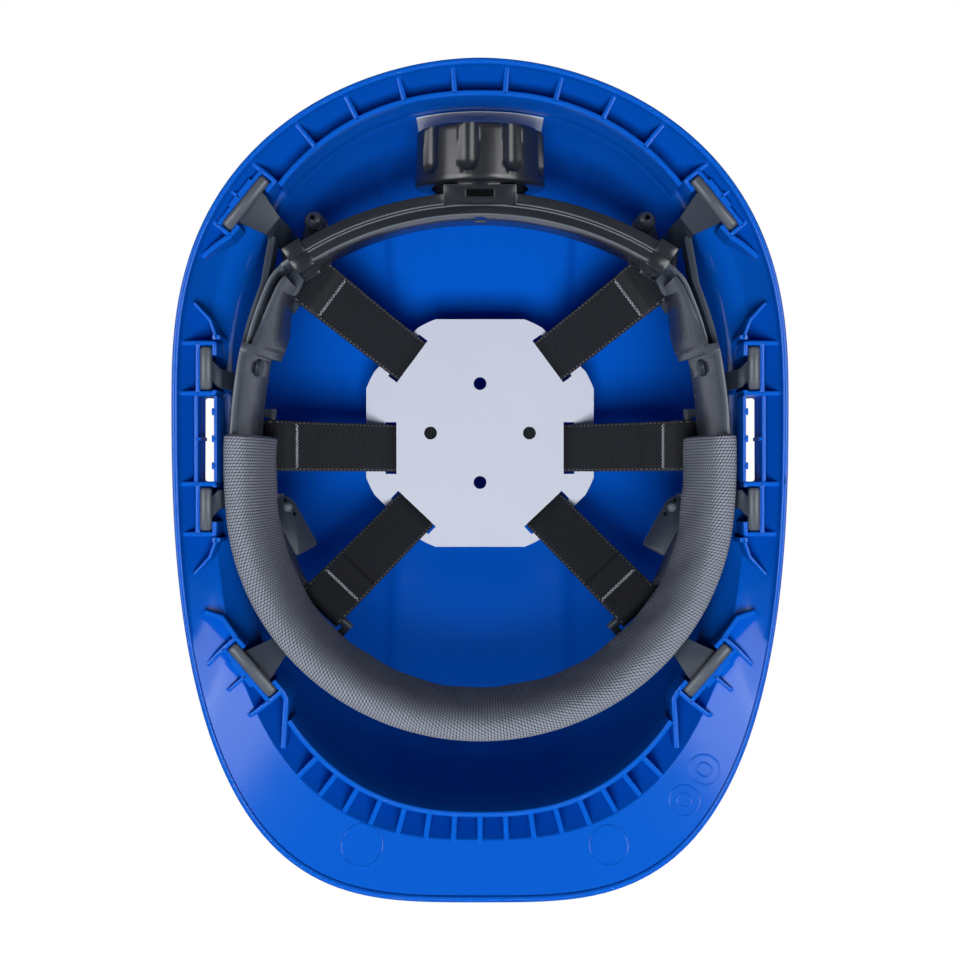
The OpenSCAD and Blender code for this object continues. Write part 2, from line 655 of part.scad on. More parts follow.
// Frame that holds a strap bar, X pointing away from the pad
leg_w = 3;
rail_in = bar_d / 2 + web_gap + web_t + 1.1;
rail_w = 3;
frame_half = web_w / 2 + 1.2 + leg_w;
module bar_frame(k) at_bar(k) {
    rotate([90, 0, 0])
        cylinder(d = bar_d, h = 2 * frame_half - 0.4, center = true);
    for (side = [-1, 1])
        translate([-bar_d / 2, side > 0 ? frame_half - leg_w : -frame_half, -hanger_t / 2])
            cube([bar_d / 2 + rail_in + rail_w, leg_w, hanger_t]);
    translate([rail_in, -frame_half, -hanger_t / 2])
        cube([rail_w, 2 * frame_half, hanger_t]);
}
module at_bar(k)
    translate([bars[k].x, bars[k].y, bar_z])
        rotate([0, 0, atan2(bars[k].y - slits[k].y, bars[k].x - slits[k].x)])
            children();
module at_lug(lug)
    translate([lug[0].x, lug[0].y, lug_z])
        rotate([0, 0, lug[1]])
            children();

riser_x = 11.2;
riser_w = 8;
riser_lean = 4;
riser_low = 8;
// A block of a hanger, drawn in on every side by the given seat
module block(from, size, in = 0)
    translate(from + [in, in, in])
        cube(size - 2 * [in, in, in]);

module riser_foot(in = 0)
    block([-riser_x, -riser_w / 2, riser_low], [hanger_t, riser_w, hanger_t], in);
module riser_head(in = 0)
    block([-riser_x - riser_lean, -riser_w / 2, bar_z - lug_z - hanger_t / 2],
        [hanger_t, riser_w, hanger_t], in);

// Corner hanger: lug head, sloping stem, riser outside the band, and a bridge over it to the strap frame
module corner_hanger(lug, k) {
    at_lug(lug) {
        translate([-lug_t / 2, -lug_l / 2, 0])
            cube([lug_t, lug_l, lug_h]);
        hull() {
            translate([-lug_t / 2 - 1, -stem_w / 2, 3])
                cube([1.5, stem_w, hanger_t]);
            riser_foot(seat);
        }
        hull() {
            riser_foot();
            riser_head();
        }
    }
    hull() {
        at_lug(lug)
            riser_head(seat);
        at_bar(k)
            block([rail_in, -frame_half / 2, -hanger_t / 2], [rail_w, frame_half, hanger_t], 2 * seat);
    }
    bar_frame(k);
}

module hanger_rear() {
    flat = function(s) [rear_rivet_z - strip_h / 2, rear_rivet_z + strip_h / 2];
    corner_hanger(rear_lug, 0);
    difference() {
        union() {
            band_strip(strip_from, rear_rivet_at + rivet_head_r, -strip_out - band_t, -strip_out, flat, 10);
            hull() {
                at_lug(rear_lug)
                    translate([-riser_x - riser_lean / 2, -riser_w / 2, rear_rivet_z - strip_h / 2 - lug_z])
                        cube([riser_lean / 2, 1.5, strip_h]);
                band_strip(strip_from, strip_from + 1, -strip_out - band_t, -strip_out, flat, 1);
            }
        }
        on_band(rear_rivet_at, 0, rear_rivet_z)
            cylinder(r = rivet_r + rivet_gap, h = 8 * band_t, center = true, $fn = 24);
    }
}

module hanger_front() {
    flat = function(s) [strip_z, strip_z + strip_h - 2];
    corner_hanger(front_lug, 2);
    difference() {
        band_strip(front_rivet_at - strip_h / 2, front_bar_at - 12, strip_in, strip_in + band_t, flat, 10);
        on_band(front_rivet_at, 0, front_rivet_z)
            cylinder(r = rivet_r + rivet_gap, h = 8 * band_t, center = true, $fn = 24);
    }
}

module hanger_rear_left() color(cradle_grey) hanger_rear();
module hanger_rear_right() color(cradle_grey) mirror([1, 0, 0]) hanger_rear();
module hanger_front_left() color(cradle_grey) hanger_front();
module hanger_front_right() color(cradle_grey) mirror([1, 0, 0]) hanger_front();

module side_foot(side, in = 0)
    block([-side_riser_x, -side_stem_w / 2 - side * side_shift, 2], [side_t, side_stem_w, side_t], in);
module side_head(side, in = 0)
    block([-side_riser_x - side_lean, -side_stem_w / 2 - side * side_shift * 1.5, bar_z - lug_z - hanger_t / 2],
        [side_t, side_stem_w, hanger_t], in);
// Side hanger: two lugs beside the accessory slot whose risers meet in one strap frame
module hanger_side() {
    for (side = [-1, 1]) {
        lug = [[side_lug_x, slot_y + side * side_lug_off], 0];
        at_lug(lug) {
            translate([-lug_t / 2, -side_lug_l / 2, 0])
                cube([lug_t, side_lug_l, lug_h]);
            hull() {
                translate([-lug_t / 2, -side_stem_w / 2, 2])
                    cube([1, side_stem_w, side_t]);
                side_foot(side, seat);
            }
        }
        hull() {
            at_lug(lug)
                side_foot(side);
            at_lug(lug)
                side_head(side);
        }
        hull() {
            at_lug(lug)
                side_head(side, seat);
            at_bar(1)
                block([rail_in, side * (frame_half - 3) - 3, -hanger_t / 2], [rail_w, 6, hanger_t], 2 * seat);
        }
    }
    bar_frame(1);
}
module hanger_side_left() color(cradle_grey) hanger_side();
module hanger_side_right() color(cradle_grey) mirror([1, 0, 0]) hanger_side();

// Nape channel: two half sections that close round both racks
channel_z = rack_half + slide_gap + channel_t;
channel_in = channel_half - channel_t;
module half_channel(way) {
    turn = 180 / PI / nape_r;
    translate([0, nape_y - nape_r, knob_z]) {
        rotate([0, 0, 90 - channel_len * turn])
            rotate_extrude(angle = 2 * channel_len * turn, $fn = 120)
                polygon([for (p = [[channel_half, -channel_z], [0, -channel_z], [0, channel_t - channel_z],
                    [channel_in, channel_t - channel_z], [channel_in, channel_z - channel_t],
                    [0, channel_z - channel_t], [0, channel_z], [channel_half, channel_z]])
                    [nape_r + way * max(p.x, parting), p.y]]);
        for (end = [0, 1])
            mirror([end, 0, 0])
                rotate([0, 0, 90 - channel_len * turn])
                    rotate_extrude(angle = mouth * turn, $fn = 120)
                        for (z = [-1, 1])
                            translate([nape_r + (way > 0 ? parting : -channel_half - 1.2),
                                z > 0 ? channel_z - 0.4 : -channel_z - 1])
                                square([channel_half + 1.2 - parting, 1.4]);
    }
}
channel_len = nape_len - 2;
parting = 0.05;

module on_axis(y)
    translate([0, nape_y + y, knob_z])
        rotate([-90, 0, 0])
            children();

module nape_channel() color(ratchet_black) difference() {
    half_channel(-1);
    on_axis(-channel_half - past)
        cylinder(r = stub_r + shaft_gap, h = channel_half);
}

module nape_cover() color(ratchet_black) difference() {
    union() {
        half_channel(1);
        translate([-housing_w / 2, nape_y + 1, knob_z - channel_z - 1.2])
            cube([housing_w, channel_half - 0.6, 2]);
        on_axis(channel_half - 1)
            linear_extrude(collar_gap + 1 + collar_in)
                difference() {
                    circle(r = collar_r);
                    circle(r = collar_r - collar_t);
                }
        on_axis(channel_half - 1)
            cylinder(r = collar_r - 1, h = 1.8);
        on_axis(channel_half + 0.7)
            linear_extrude(collar_gap + collar_in - 0.7)
                for (k = [0:click_teeth - 1])
                    rotate(k * 360 / click_teeth)
                        polygon([[collar_r - collar_t + 0.3, -1], [collar_r - collar_t - click_h, 0],
                            [collar_r - collar_t + 0.3, 1]]);
    }
    on_axis(0)
        cylinder(r = shaft_r + shaft_gap, h = channel_half + 3);
}
housing_w = 25;
collar_in = 4;

pinion_half = channel_in - 0.25;
module drive_pinion() color(ratchet_black) difference() {
    union() {
        on_axis(-pinion_half)
            linear_extrude(2 * pinion_half)
                union() {
                    circle(r = root_r + 0.1);
                    for (k = [0:pinion_teeth - 1])
                        rotate(k * 360 / pinion_teeth)
                            polygon([[-1.05 * gear_module, root_r - 0.5], [-0.7 * gear_module, pitch_r],
                                [-0.36 * gear_module, tip_r], [0.36 * gear_module, tip_r],
                                [0.7 * gear_module, pitch_r], [1.05 * gear_module, root_r - 0.5]]);
                }
        on_axis(-channel_half + 0.2)
            cylinder(r = stub_r, h = channel_half);
        on_axis(0)
            cylinder(r = shaft_r, h = channel_half + collar_gap + hub_in);
    }
    on_axis(channel_half + collar_gap + hub_in - screw_in)
        cylinder(r = screw_r + 0.02, h = screw_in + past);
}
hub_in = knob_l - 6;
screw_in = 8;
screw_r = 1.5;

click_at = channel_half + collar_gap + 1;
click_t = 1.6;
module click_spring() color(steel)
    on_axis(click_at)
        linear_extrude(click_t)
            difference() {
                union() {
                    circle(r = shaft_r + 2.6);
                    for (k = [0, 180])
                        rotate(k + 7.5)
                            polygon([[shaft_r, -4], [shaft_r + 5, -1.6], [nose_r, -0.4], [nose_r, 0.4],
                                [shaft_r + 5, 0.2], [shaft_r, -1.2]]);
                }
                circle(r = shaft_r + 0.02);
            }
nose_r = collar_r - collar_t - click_h - 0.25;

knob_y = channel_half + collar_gap;
hub_r = 7.4;
module knob() color(ratchet_black) difference() {
    on_axis(knob_y)
        rotate_extrude($fn = 72)
            polygon([[shaft_r + 0.02, click_t + 1.3], [hub_r, click_t + 1.3], [hub_r, collar_in + 1],
                [collar_r + 1.5, collar_in + 1], [collar_r + 1.5, 0], [knob_d / 2 - 0.6, 0],
                [knob_d / 2, 0.6], [knob_d / 2 - 0.6, knob_l - 1.5],
                [knob_d / 2 - 2, knob_l], [screw_head_r + 0.3, knob_l], [screw_head_r + 0.3, knob_l - 2.5],
                [screw_r + 0.2, knob_l - 2.5], [screw_r + 0.2, hub_in + 0.2], [shaft_r + 0.02, hub_in + 0.2]]);
    for (k = [0:flutes - 1])
        on_axis(knob_y)
            rotate([0, 0, (k + 0.25) * 360 / flutes])
                translate([knob_d / 2 + 1.7, 0, 0]) {
                    translate([0, 0, knob_l * 0.34])
                        cylinder(r = 4.2, h = knob_l, $fn = 24);
                    translate([0, 0, knob_l * 0.34])
                        sphere(r = 4.2, $fn = 24);
                }
}
screw_head_r = 3.4;

module knob_screw() color(steel) difference() {
    union() {
        on_axis(knob_y + hub_in - screw_in + 1)
            cylinder(r = screw_r, h = knob_l - hub_in + screw_in - 2.9);
        on_axis(knob_y + knob_l - 2.4)
            cylinder(r = screw_head_r, h = 1.8, $fn = 32);
    }
    on_axis(knob_y + knob_l - 1.5)
        translate([-screw_head_r - past, -0.4, 0])
            cube([2 * (screw_head_r + past), 0.8, 2]);
}

shell();
inner_label();
crown_pad();
strap_cross();
strap_diagonal_left();
strap_diagonal_right();
hanger_rear_left();
hanger_rear_right();
hanger_front_left();
hanger_front_right();
hanger_side_left();
hanger_side_right();
headband();
band_arm_left();
band_arm_right();
rear_rivets();
front_rivets();
sweatband();
nape_channel();
nape_cover();
drive_pinion();
click_spring();
knob();
knob_screw();
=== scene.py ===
"""Looks of an industrial safety helmet: smooth moulded shell with its ribbed underside, webbing cradle with
stitching, crown pad, padded mesh sweatband, cradle mouldings and the fluted ratchet knob."""

from contextlib import contextmanager
from functools import lru_cache
from math import asin, atan2, ceil, cos, degrees, hypot, pi, radians, sin, sqrt, tan

import bmesh
import bpy
import numpy as np
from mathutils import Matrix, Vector


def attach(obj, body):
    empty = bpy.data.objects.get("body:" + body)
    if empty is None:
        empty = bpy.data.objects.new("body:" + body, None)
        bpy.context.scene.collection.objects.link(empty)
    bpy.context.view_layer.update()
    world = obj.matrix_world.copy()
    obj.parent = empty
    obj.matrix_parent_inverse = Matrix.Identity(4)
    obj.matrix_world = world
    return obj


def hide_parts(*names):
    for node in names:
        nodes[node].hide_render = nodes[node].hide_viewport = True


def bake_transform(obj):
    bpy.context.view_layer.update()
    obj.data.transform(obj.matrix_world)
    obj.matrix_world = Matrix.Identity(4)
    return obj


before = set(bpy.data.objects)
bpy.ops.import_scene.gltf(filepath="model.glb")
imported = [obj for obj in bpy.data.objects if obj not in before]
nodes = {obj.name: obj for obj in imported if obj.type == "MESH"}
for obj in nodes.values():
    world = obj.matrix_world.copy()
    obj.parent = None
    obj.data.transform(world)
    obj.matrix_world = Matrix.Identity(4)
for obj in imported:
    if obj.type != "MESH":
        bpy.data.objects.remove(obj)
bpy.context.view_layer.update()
MM = 0.001

# Shell sizes in millimetres, as in the part's source
SHELL_L, SHELL_W, SHELL_H = 295.0, 215.5, 150.0
WALL, LIP_W, LIP_H = 2.6, 2.2, 4.0
SKIRT_H, REAR_SKIRT, SIDE_SKIRT, PEAK_REACH = 28.0, 13.0, 17.25, 31.5
WAIST_Y, CROWN_Y = 27.5, 12.0
WAIST, FLIP = np.array((0, WAIST_Y)), np.array((-1, 1))
RIDGE_W, RIDGE_H, RIDGE_EDGE = 62.0, 3.0, 12.0
DOME_POWER, SKIRT_POWER = 2.4, 1.5
RING_HALF = SHELL_W / 2 - SIDE_SKIRT
RIM = (SHELL_W / 2, SHELL_L / 2 - WAIST_Y, SHELL_L / 2 + WAIST_Y, 1.9, 2.6, 3.4, 2.5)
RING = (RING_HALF, SHELL_L / 2 - REAR_SKIRT - WAIST_Y, SHELL_L / 2 - PEAK_REACH + WAIST_Y,
        2.2, 2.3, 2.45, 2.45)

# Fillet, peak, lip and mesh of the shell's skin
FILLET, PEAK_FILLET, FILLET_SHARE = 9.0, 4.0, 0.55
PEAK_FROM, PEAK_RUN, PEAK_POWER_IN, PEAK_POWER_OUT = 0.3, 0.5, 0.95, 1.05
EDGE_U, EDGE_SHARE, EDGE_SOFT = 0.37, 0.22, 0.012
LIP_SOFT, LIP_FACE = 0.8, 2.2
DOME_ROWS, FILLET_ROWS, TOP_TURN, SKIN_STEPS, RING_STEPS = 34, 8, 88.0, 320, 60

# Ribs, sockets and slots
RIB_T, RIB_Z, SOCKET_T, WALL_STEP = 2.0, 3.0, 1.8, 1.6
REAR_RIBS, REAR_RIB_STEP, PEAK_RIBS, PEAK_RIB_STEP = 4, 9.4, 7, 3.5
PEAK_RISE, FRONT_REACH = 3.4, 8.0
LUG_GAP, LUG_L, LUG_T, STEM_W = 0.4, 22.0, 3.2, 13.0
LUG_LOW, ROD_HALF, ROD_HIGH = 2.6, 2.15, 1.7
SIDE_LUG_L, SIDE_STEM_W, SIDE_SHIFT = 15.0, 6.4, 3.4
SLOT_L, SLOT_W, SLOT_Y, SLOT_SOFT = 30.0, 5.5, 14.5, 0.9
SLOT_IN = RING_HALF + WALL + 0.2

# Cradle, headband and ratchet
WEB_W, WEB_T, WEB_GAP = 19.0, 1.4, 0.3
PAD_Z, PAD_Y, PAD_T, PAD_REACH = 104.0, 19.0, 1.2, 49.4
BAR_Z, BAR_D = 49.0, 3.4
STITCH_AT, STITCHES, STITCH_ZIG, STITCH_IN, STITCH_OUT = 13.2, 24, 0.4, 1.4, 0.08
STITCH_L, THREAD_R, THREAD_LONG, LAP_GAP, LAP_DIP = 1.02, 0.2, 3.1, 0.25, 0.3
NAPE_R, CORNER_R, TEMPLE_R = 120.0, 14.0, 200.0
CORNER_TURN, TEMPLE_TURN, TEMPLE_GAP, BROW_GAP = 72.0, 96.0, 6.4, 30.3
BAND_T, BAND_Z, BAND_H, BAND_LEAN, LEAN_RUN = 2.0, 9.0, 31.0, 13.0, 32.0
SWEAT_T, ARM_RUN, SWEAT_LAP = 6.6, 68.0, 13.0
KNOB_D, KNOB_L, KNOB_Z, FLUTES = 47.0, 20.4, 24.0, 9
CHANNEL_HALF = 1.6 + 0.45 + 2.1
KNOB_GAP, COLLAR_GAP, CHANNEL_Z = 9.0, 2.9, 13.4
NAPE_Y = SHELL_L / 2 - REAR_SKIRT - KNOB_GAP - KNOB_L - COLLAR_GAP - CHANNEL_HALF
KNOB_Y = NAPE_Y + CHANNEL_HALF + COLLAR_GAP

# Angles from which an edge is sharp: small forms, shell, knob, mouldings and cloth
SHARP, SKIN_SHARP, KNOB_SHARP, MOULD_SHARP, CLOTH_SHARP = 40, 50, 42, 32, 60


# Small maths
def mix(a, b, t):
    return a + (b - a) * t


def smooth(t):
    c = max(0.0, min(1.0, t))
    return c * c * (3 - 2 * c)


def cosd(a):
    return cos(radians(a))


def sind(a):
    return sin(radians(a))


def polar(r, a):
    return np.array((r * cosd(a), r * sind(a)))


def unit(v):
    return np.asarray(v, float) / max(np.linalg.norm(v), 1e-9)


def way_at(points, i):
    return points[min(i + 1, len(points) - 1)] - points[max(i - 1, 0)]


# Plan outlines of the shell
@lru_cache(maxsize=None)
def reach(a, shape):
    k = 0 if sind(a) >= 0 else 1
    low, high = 0.0, 400.0
    for _ in range(40):
        r = (low + high) / 2
        across = abs(r * cosd(a)) / shape[0]
        along = abs(r * sind(a)) / shape[1 + k]
        if across ** shape[3 + 2 * k] + along ** shape[4 + 2 * k] > 1:
            high = r
        else:
            low = r
    return (low + high) / 2


def on_outline(a, shape, out=0.0):
    return WAIST + polar(reach(a, shape) + out, a)


def outline_normal(a, shape):
    t = on_outline(a + 1, shape) - on_outline(a - 1, shape)
    return unit((t[1], -t[0]))


def peak_weight(a):
    return smooth((-sind(a) - PEAK_FROM) / PEAK_RUN)


def peak_share(u, power):
    """Height of the skirt under the peak, as a share: flat in from the lip, then steep up to the dome."""
    if u >= EDGE_U:
        return EDGE_SHARE * (1 - u) / (1 - EDGE_U)
    return EDGE_SHARE + (1 - EDGE_SHARE) * (1 - u / EDGE_U) ** power


def skirt_point(a, u, depth):
    inset = LIP_W * depth / WALL
    r = mix(reach(a, RING) + WALL - depth, reach(a, RIM) - inset, u)
    power = PEAK_POWER_IN if depth else PEAK_POWER_OUT
    share = mix(1 - u ** SKIRT_POWER, peak_share(u, power), peak_weight(a))
    low, high = LIP_H - depth, SKIRT_H - depth
    x, y = WAIST + polar(r, a)
    return np.array((x, y, low + (high - low) * share))


def dome_point(a, t, out, low, top):
    rise = sind(t) ** (2 / DOME_POWER)
    shrink = max(0.0, cosd(t)) ** (2 / DOME_POWER)
    middle = np.array((0, mix(WAIST_Y, CROWN_Y, rise * rise)))
    x, y = middle + polar((reach(a, RING) + out) * shrink, a)
    step = RIDGE_EDGE if out > 0 else RIDGE_EDGE / 3
    edge = (RIDGE_W / 2 + (RIDGE_EDGE + step) / 2 - abs(x)) / step
    lift = RIDGE_H * smooth(edge) * smooth(rise * 2 - 0.2)
    return np.array((x, y, mix(low, top - RIDGE_H, rise))) + lift * unit((x, y - CROWN_Y, top - low))


@lru_cache(maxsize=None)
def side_rows(a, depth):
    """One face of the shell along a bearing, from near the crown to the lip, as far inside as depth says."""
    low, top = SKIRT_H - depth, SHELL_H - depth
    fillet = mix(FILLET, PEAK_FILLET, peak_weight(a)) if depth else FILLET
    t_fillet = degrees(asin((fillet / (top - RIDGE_H - low)) ** (DOME_POWER / 2)))
    width = reach(a, RIM) - reach(a, RING)
    u_fillet = min(FILLET_SHARE, fillet / width)
    u_edge = max(EDGE_U, u_fillet + 0.04)
    across = [mix(u_fillet, u_edge - EDGE_SOFT, k / 5) for k in range(6)] + [u_edge]
    across += [mix(u_edge + EDGE_SOFT, 1, k / 8) for k in range(9)]

    def dome(t):
        return dome_point(a, t, WALL - depth, low, top)

    rows = [dome(mix(TOP_TURN, t_fillet, k / DOME_ROWS)) for k in range(DOME_ROWS)]
    start, corner = dome(t_fillet), dome(0)
    end = skirt_point(a, u_fillet, depth)
    for k in range(FILLET_ROWS):
        t = k / FILLET_ROWS
        rows.append((1 - t) ** 2 * start + 2 * t * (1 - t) * corner + t * t * end)
    return rows + [skirt_point(a, u, depth) for u in across]


def rim_rows(a):
    """The rounded lip, from its outer face round to its inner face."""
    r_out, r_in = reach(a, RIM), reach(a, RIM) - LIP_W
    soft = LIP_SOFT
    spots = [(r_out, LIP_FACE)]
    spots += [(r_out - soft + soft * cosd(w), soft - soft * sind(w)) for w in (0, 30, 60, 90)]
    spots += [(r_in + soft - soft * sind(w), soft - soft * cosd(w)) for w in (0, 45, 90)]
    return [np.append(WAIST + polar(r, a), z) for r, z in spots]


def ceiling(x, y):
    """Height of the shell's inner face over a plan point beside the dome."""
    a = round(degrees(atan2(y - WAIST_Y, x)) * 4) / 4
    rows = side_rows(a, WALL)[DOME_ROWS:]
    radii = [hypot(p[0], p[1] - WAIST_Y) for p in rows]
    return float(np.interp(hypot(x, y - WAIST_Y), radii, [p[2] for p in rows]))


# Mesh helpers: merging in metres, and cuts near the corners of the pad in millimetres
MERGE, CLEAN, FLAT, BEVEL_FROM = 2e-6, 3e-6, radians(0.6), radians(38)
PAD_CUTS = (*range(-26, -13, 2), *range(14, 27, 2))


@contextmanager
def opened(mesh):
    """A mesh open for editing, which is written back at the end."""
    made = bmesh.new()
    made.from_mesh(mesh)
    yield made
    made.to_mesh(mesh)
    made.free()


def new_object(name, data):
    obj = bpy.data.objects.new(name, data)
    bpy.context.scene.collection.objects.link(obj)
    return obj


def new_mesh(name, points, faces=(), edges=()):
    """A mesh from points in millimetres, with its faces turned outwards."""
    mesh = bpy.data.meshes.new(name)
    mesh.from_pydata([[c * MM for c in p] for p in points], edges, faces)
    if faces:
        with opened(mesh) as made:
            bmesh.ops.recalc_face_normals(made, faces=made.faces)
    return mesh


def finish_piece(name, mesh, material, body, node=None, slot=None, angle=SHARP):
    """Smooth faces with sharp edges from an angle on, a material and the piece's place in the frame."""
    mesh.polygons.foreach_set("use_smooth", [True] * len(mesh.polygons))
    if angle < 180:
        mesh.set_sharp_from_angle(angle=radians(angle))
    mesh.materials.clear()
    mesh.materials.append(material)
    obj = new_object(name, mesh)
    if body:
        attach(obj, body)
    if node:
        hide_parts(node)
    return obj


def new_piece(name, points, faces, *place):
    return finish_piece(name, new_mesh(name, points, faces), *place)


def loft(rings, caps=True, start=0):
    """Quads between equal rings of points, with closed ends when caps is set, counted from start."""
    n, m = len(rings[0]), len(rings)
    points = [p for r in rings for p in r]
    faces = []
    for j in range(m - 1):
        for i in range(n):
            k = (i + 1) % n
            faces.append(tuple(start + c for c in (j * n + i, (j + 1) * n + i, (j + 1) * n + k, j * n + k)))
    if caps:
        faces.append(tuple(start + i for i in range(n - 1, -1, -1)))
        faces.append(tuple(start + (m - 1) * n + i for i in range(n)))
    return points, faces


def loft_all(runs, caps=True):
    """The lofts of several runs of rings in one."""
    points, faces = [], []
    for rings in runs:
        more, quads = loft(rings, caps, len(points))
        points += more
        faces += quads
    return points, faces


def round_box(half_x, half_y, radii, step):
    """Outline of a rectangle with a radius for each corner."""
    outline = []
    for x, y, first, r in zip((1, -1, -1, 1), (1, 1, -1, -1), (0, 90, 180, 270), radii):
        corner = np.array((x * (half_x - r), y * (half_y - r)))
        outline += [corner + polar(r, w) for w in range(first, first + 91, step)]
    return outline


def take_mesh(obj):
    """The plain mesh of an object with modifiers, which is removed."""
    graph = bpy.context.evaluated_depsgraph_get()
    mesh = bpy.data.meshes.new_from_object(obj.evaluated_get(graph))
    bpy.data.objects.remove(obj)
    return mesh


def soft_edges(obj, width):
    bevel = obj.modifiers.new("soft edges", "BEVEL")
    bevel.width = width * MM
    bevel.segments = 2
    bevel.limit_method = "ANGLE"
    bevel.angle_limit = BEVEL_FROM


def limit_reach(made, radius):
    """Cuts the crown pad into strips near its corners and draws its outline in to a radius."""
    middle = Vector((0, PAD_Y * MM, 0))
    for axis in (Vector((1, 0, 0)), Vector((0, 1, 0))):
        for step in PAD_CUTS:
            bmesh.ops.bisect_plane(made, geom=made.verts[:] + made.edges[:] + made.faces[:], dist=1e-7,
                                   plane_co=middle + axis * step * MM, plane_no=axis)
    for vert in made.verts:
        arm = (vert.co - middle).xy
        if arm.length > radius * MM:
            vert.co.xy = middle.xy + arm * (radius * MM / arm.length)


def rounded_copy(node, material, body, width, slot, blend=None, radius=0.0):
    """A moulded stand-in for a CAD piece: its own faces, merged, with soft edges."""
    name = node + "_moulding"
    mesh = nodes[node].data.copy()
    with opened(mesh) as made:
        bmesh.ops.remove_doubles(made, verts=made.verts, dist=MERGE)
        bmesh.ops.dissolve_limit(made, angle_limit=FLAT, verts=made.verts, edges=made.edges)
        if radius:
            limit_reach(made, radius)
        for edge in made.edges:
            edge.smooth = True
    obj = new_object(name, mesh)
    soft_edges(obj, width)
    mesh = take_mesh(obj)
    if radius:
        with opened(mesh) as made:
            bmesh.ops.remove_doubles(made, verts=made.verts, dist=CLEAN)
            bmesh.ops.dissolve_degenerate(made, edges=made.edges, dist=CLEAN)
    obj = finish_piece(name, mesh, material, body, node, slot, MOULD_SHARP)
    if blend:
        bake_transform(obj)


# Shader helpers
def feed(tree, value, socket):
    """Links a socket to an input, or sets the input to a plain value."""
    if isinstance(value, bpy.types.NodeSocket):
        tree.links.new(value, socket)
    else:
        socket.default_value = value


def add(tree, kind, **values):
    """A new node with its settings and inputs; an underscore stands for the space in an input's name."""
    node = tree.nodes.new(kind)
    for key, value in values.items():
        label = key.replace("_", " ")
        if label in node.inputs:
            feed(tree, value, node.inputs[label])
        else:
            setattr(node, key, value)
    return node


def maths(tree, kind, *values):
    node = add(tree, "ShaderNodeMath", operation=kind)
    for value, socket in zip(values, node.inputs):
        feed(tree, value, socket)
    return node.outputs[0]


def mix_color(tree, share, first, second):
    return add(tree, "ShaderNodeMix", data_type="RGBA", Factor=share, A=first, B=second).outputs["Result"]


def mix_shader(tree, share, first, second):
    node = add(tree, "ShaderNodeMixShader", Fac=share)
    feed(tree, first.outputs[0], node.inputs[1])
    feed(tree, second.outputs[0], node.inputs[2])
    return node.outputs[0]


def new_tree(kind, name, given, made):
    """A node tree with named inputs and outputs, and the sockets of both ends."""
    tree = bpy.data.node_groups.new(name, kind)
    for way, sockets in (("INPUT", given), ("OUTPUT", made)):
        for label, socket in sockets.items():
            tree.interface.new_socket(label, in_out=way, socket_type="NodeSocket" + socket)
    return tree, tree.nodes.new("NodeGroupInput").outputs, tree.nodes.new("NodeGroupOutput").inputs


EFFECT = {"Color": "Color", "Roughness": "Float", "Height": "Float"}


def moulded_grain():
    """Cloudy tone, uneven gloss and a fine skin, as on moulded plastic."""
    sockets = {"Color": "Color", "Tone": "Float", "Gloss": "Float", "Unevenness": "Float", "Grain": "Float"}
    tree, given, made = new_tree("ShaderNodeTree", "moulded_grain", sockets, EFFECT)
    place = add(tree, "ShaderNodeTexCoord").outputs["Object"]
    cloud = add(tree, "ShaderNodeTexNoise", Vector=place, Scale=24.0, Detail=4.0, Roughness=0.55)
    low, high = (maths(tree, kind, 1.0, given["Tone"]) for kind in ("SUBTRACT", "ADD"))
    swing = add(tree, "ShaderNodeMapRange", Value=cloud.outputs["Fac"], To_Min=low, To_Max=high)
    tint = add(tree, "ShaderNodeVectorMath", operation="SCALE", Vector=given["Color"],
               Scale=swing.outputs["Result"])
    feed(tree, tint.outputs["Vector"], made["Color"])
    streak = add(tree, "ShaderNodeTexNoise", Vector=place, Scale=70.0, Detail=3.0, Roughness=0.6)
    centred = maths(tree, "SUBTRACT", streak.outputs["Fac"], 0.5)
    feed(tree, maths(tree, "MULTIPLY_ADD", centred, given["Unevenness"], given["Gloss"]), made["Roughness"])
    skin = add(tree, "ShaderNodeTexNoise", Vector=place, Scale=given["Grain"], Detail=2.0, Roughness=0.5)
    feed(tree, skin.outputs["Fac"], made["Height"])
    return tree


# Yarns of the cloth, and the dashes along the edges of webbing, in metres
YARN_SLANT, YARN_POWER, YARN_RISE, FUZZ_SCALE, FUZZ = 0.5, 0.6, 0.45, 2600.0, 0.25
DASH_WIDE, DASH_STEP, DASH_GAP = 0.0006, 0.0023, 0.1


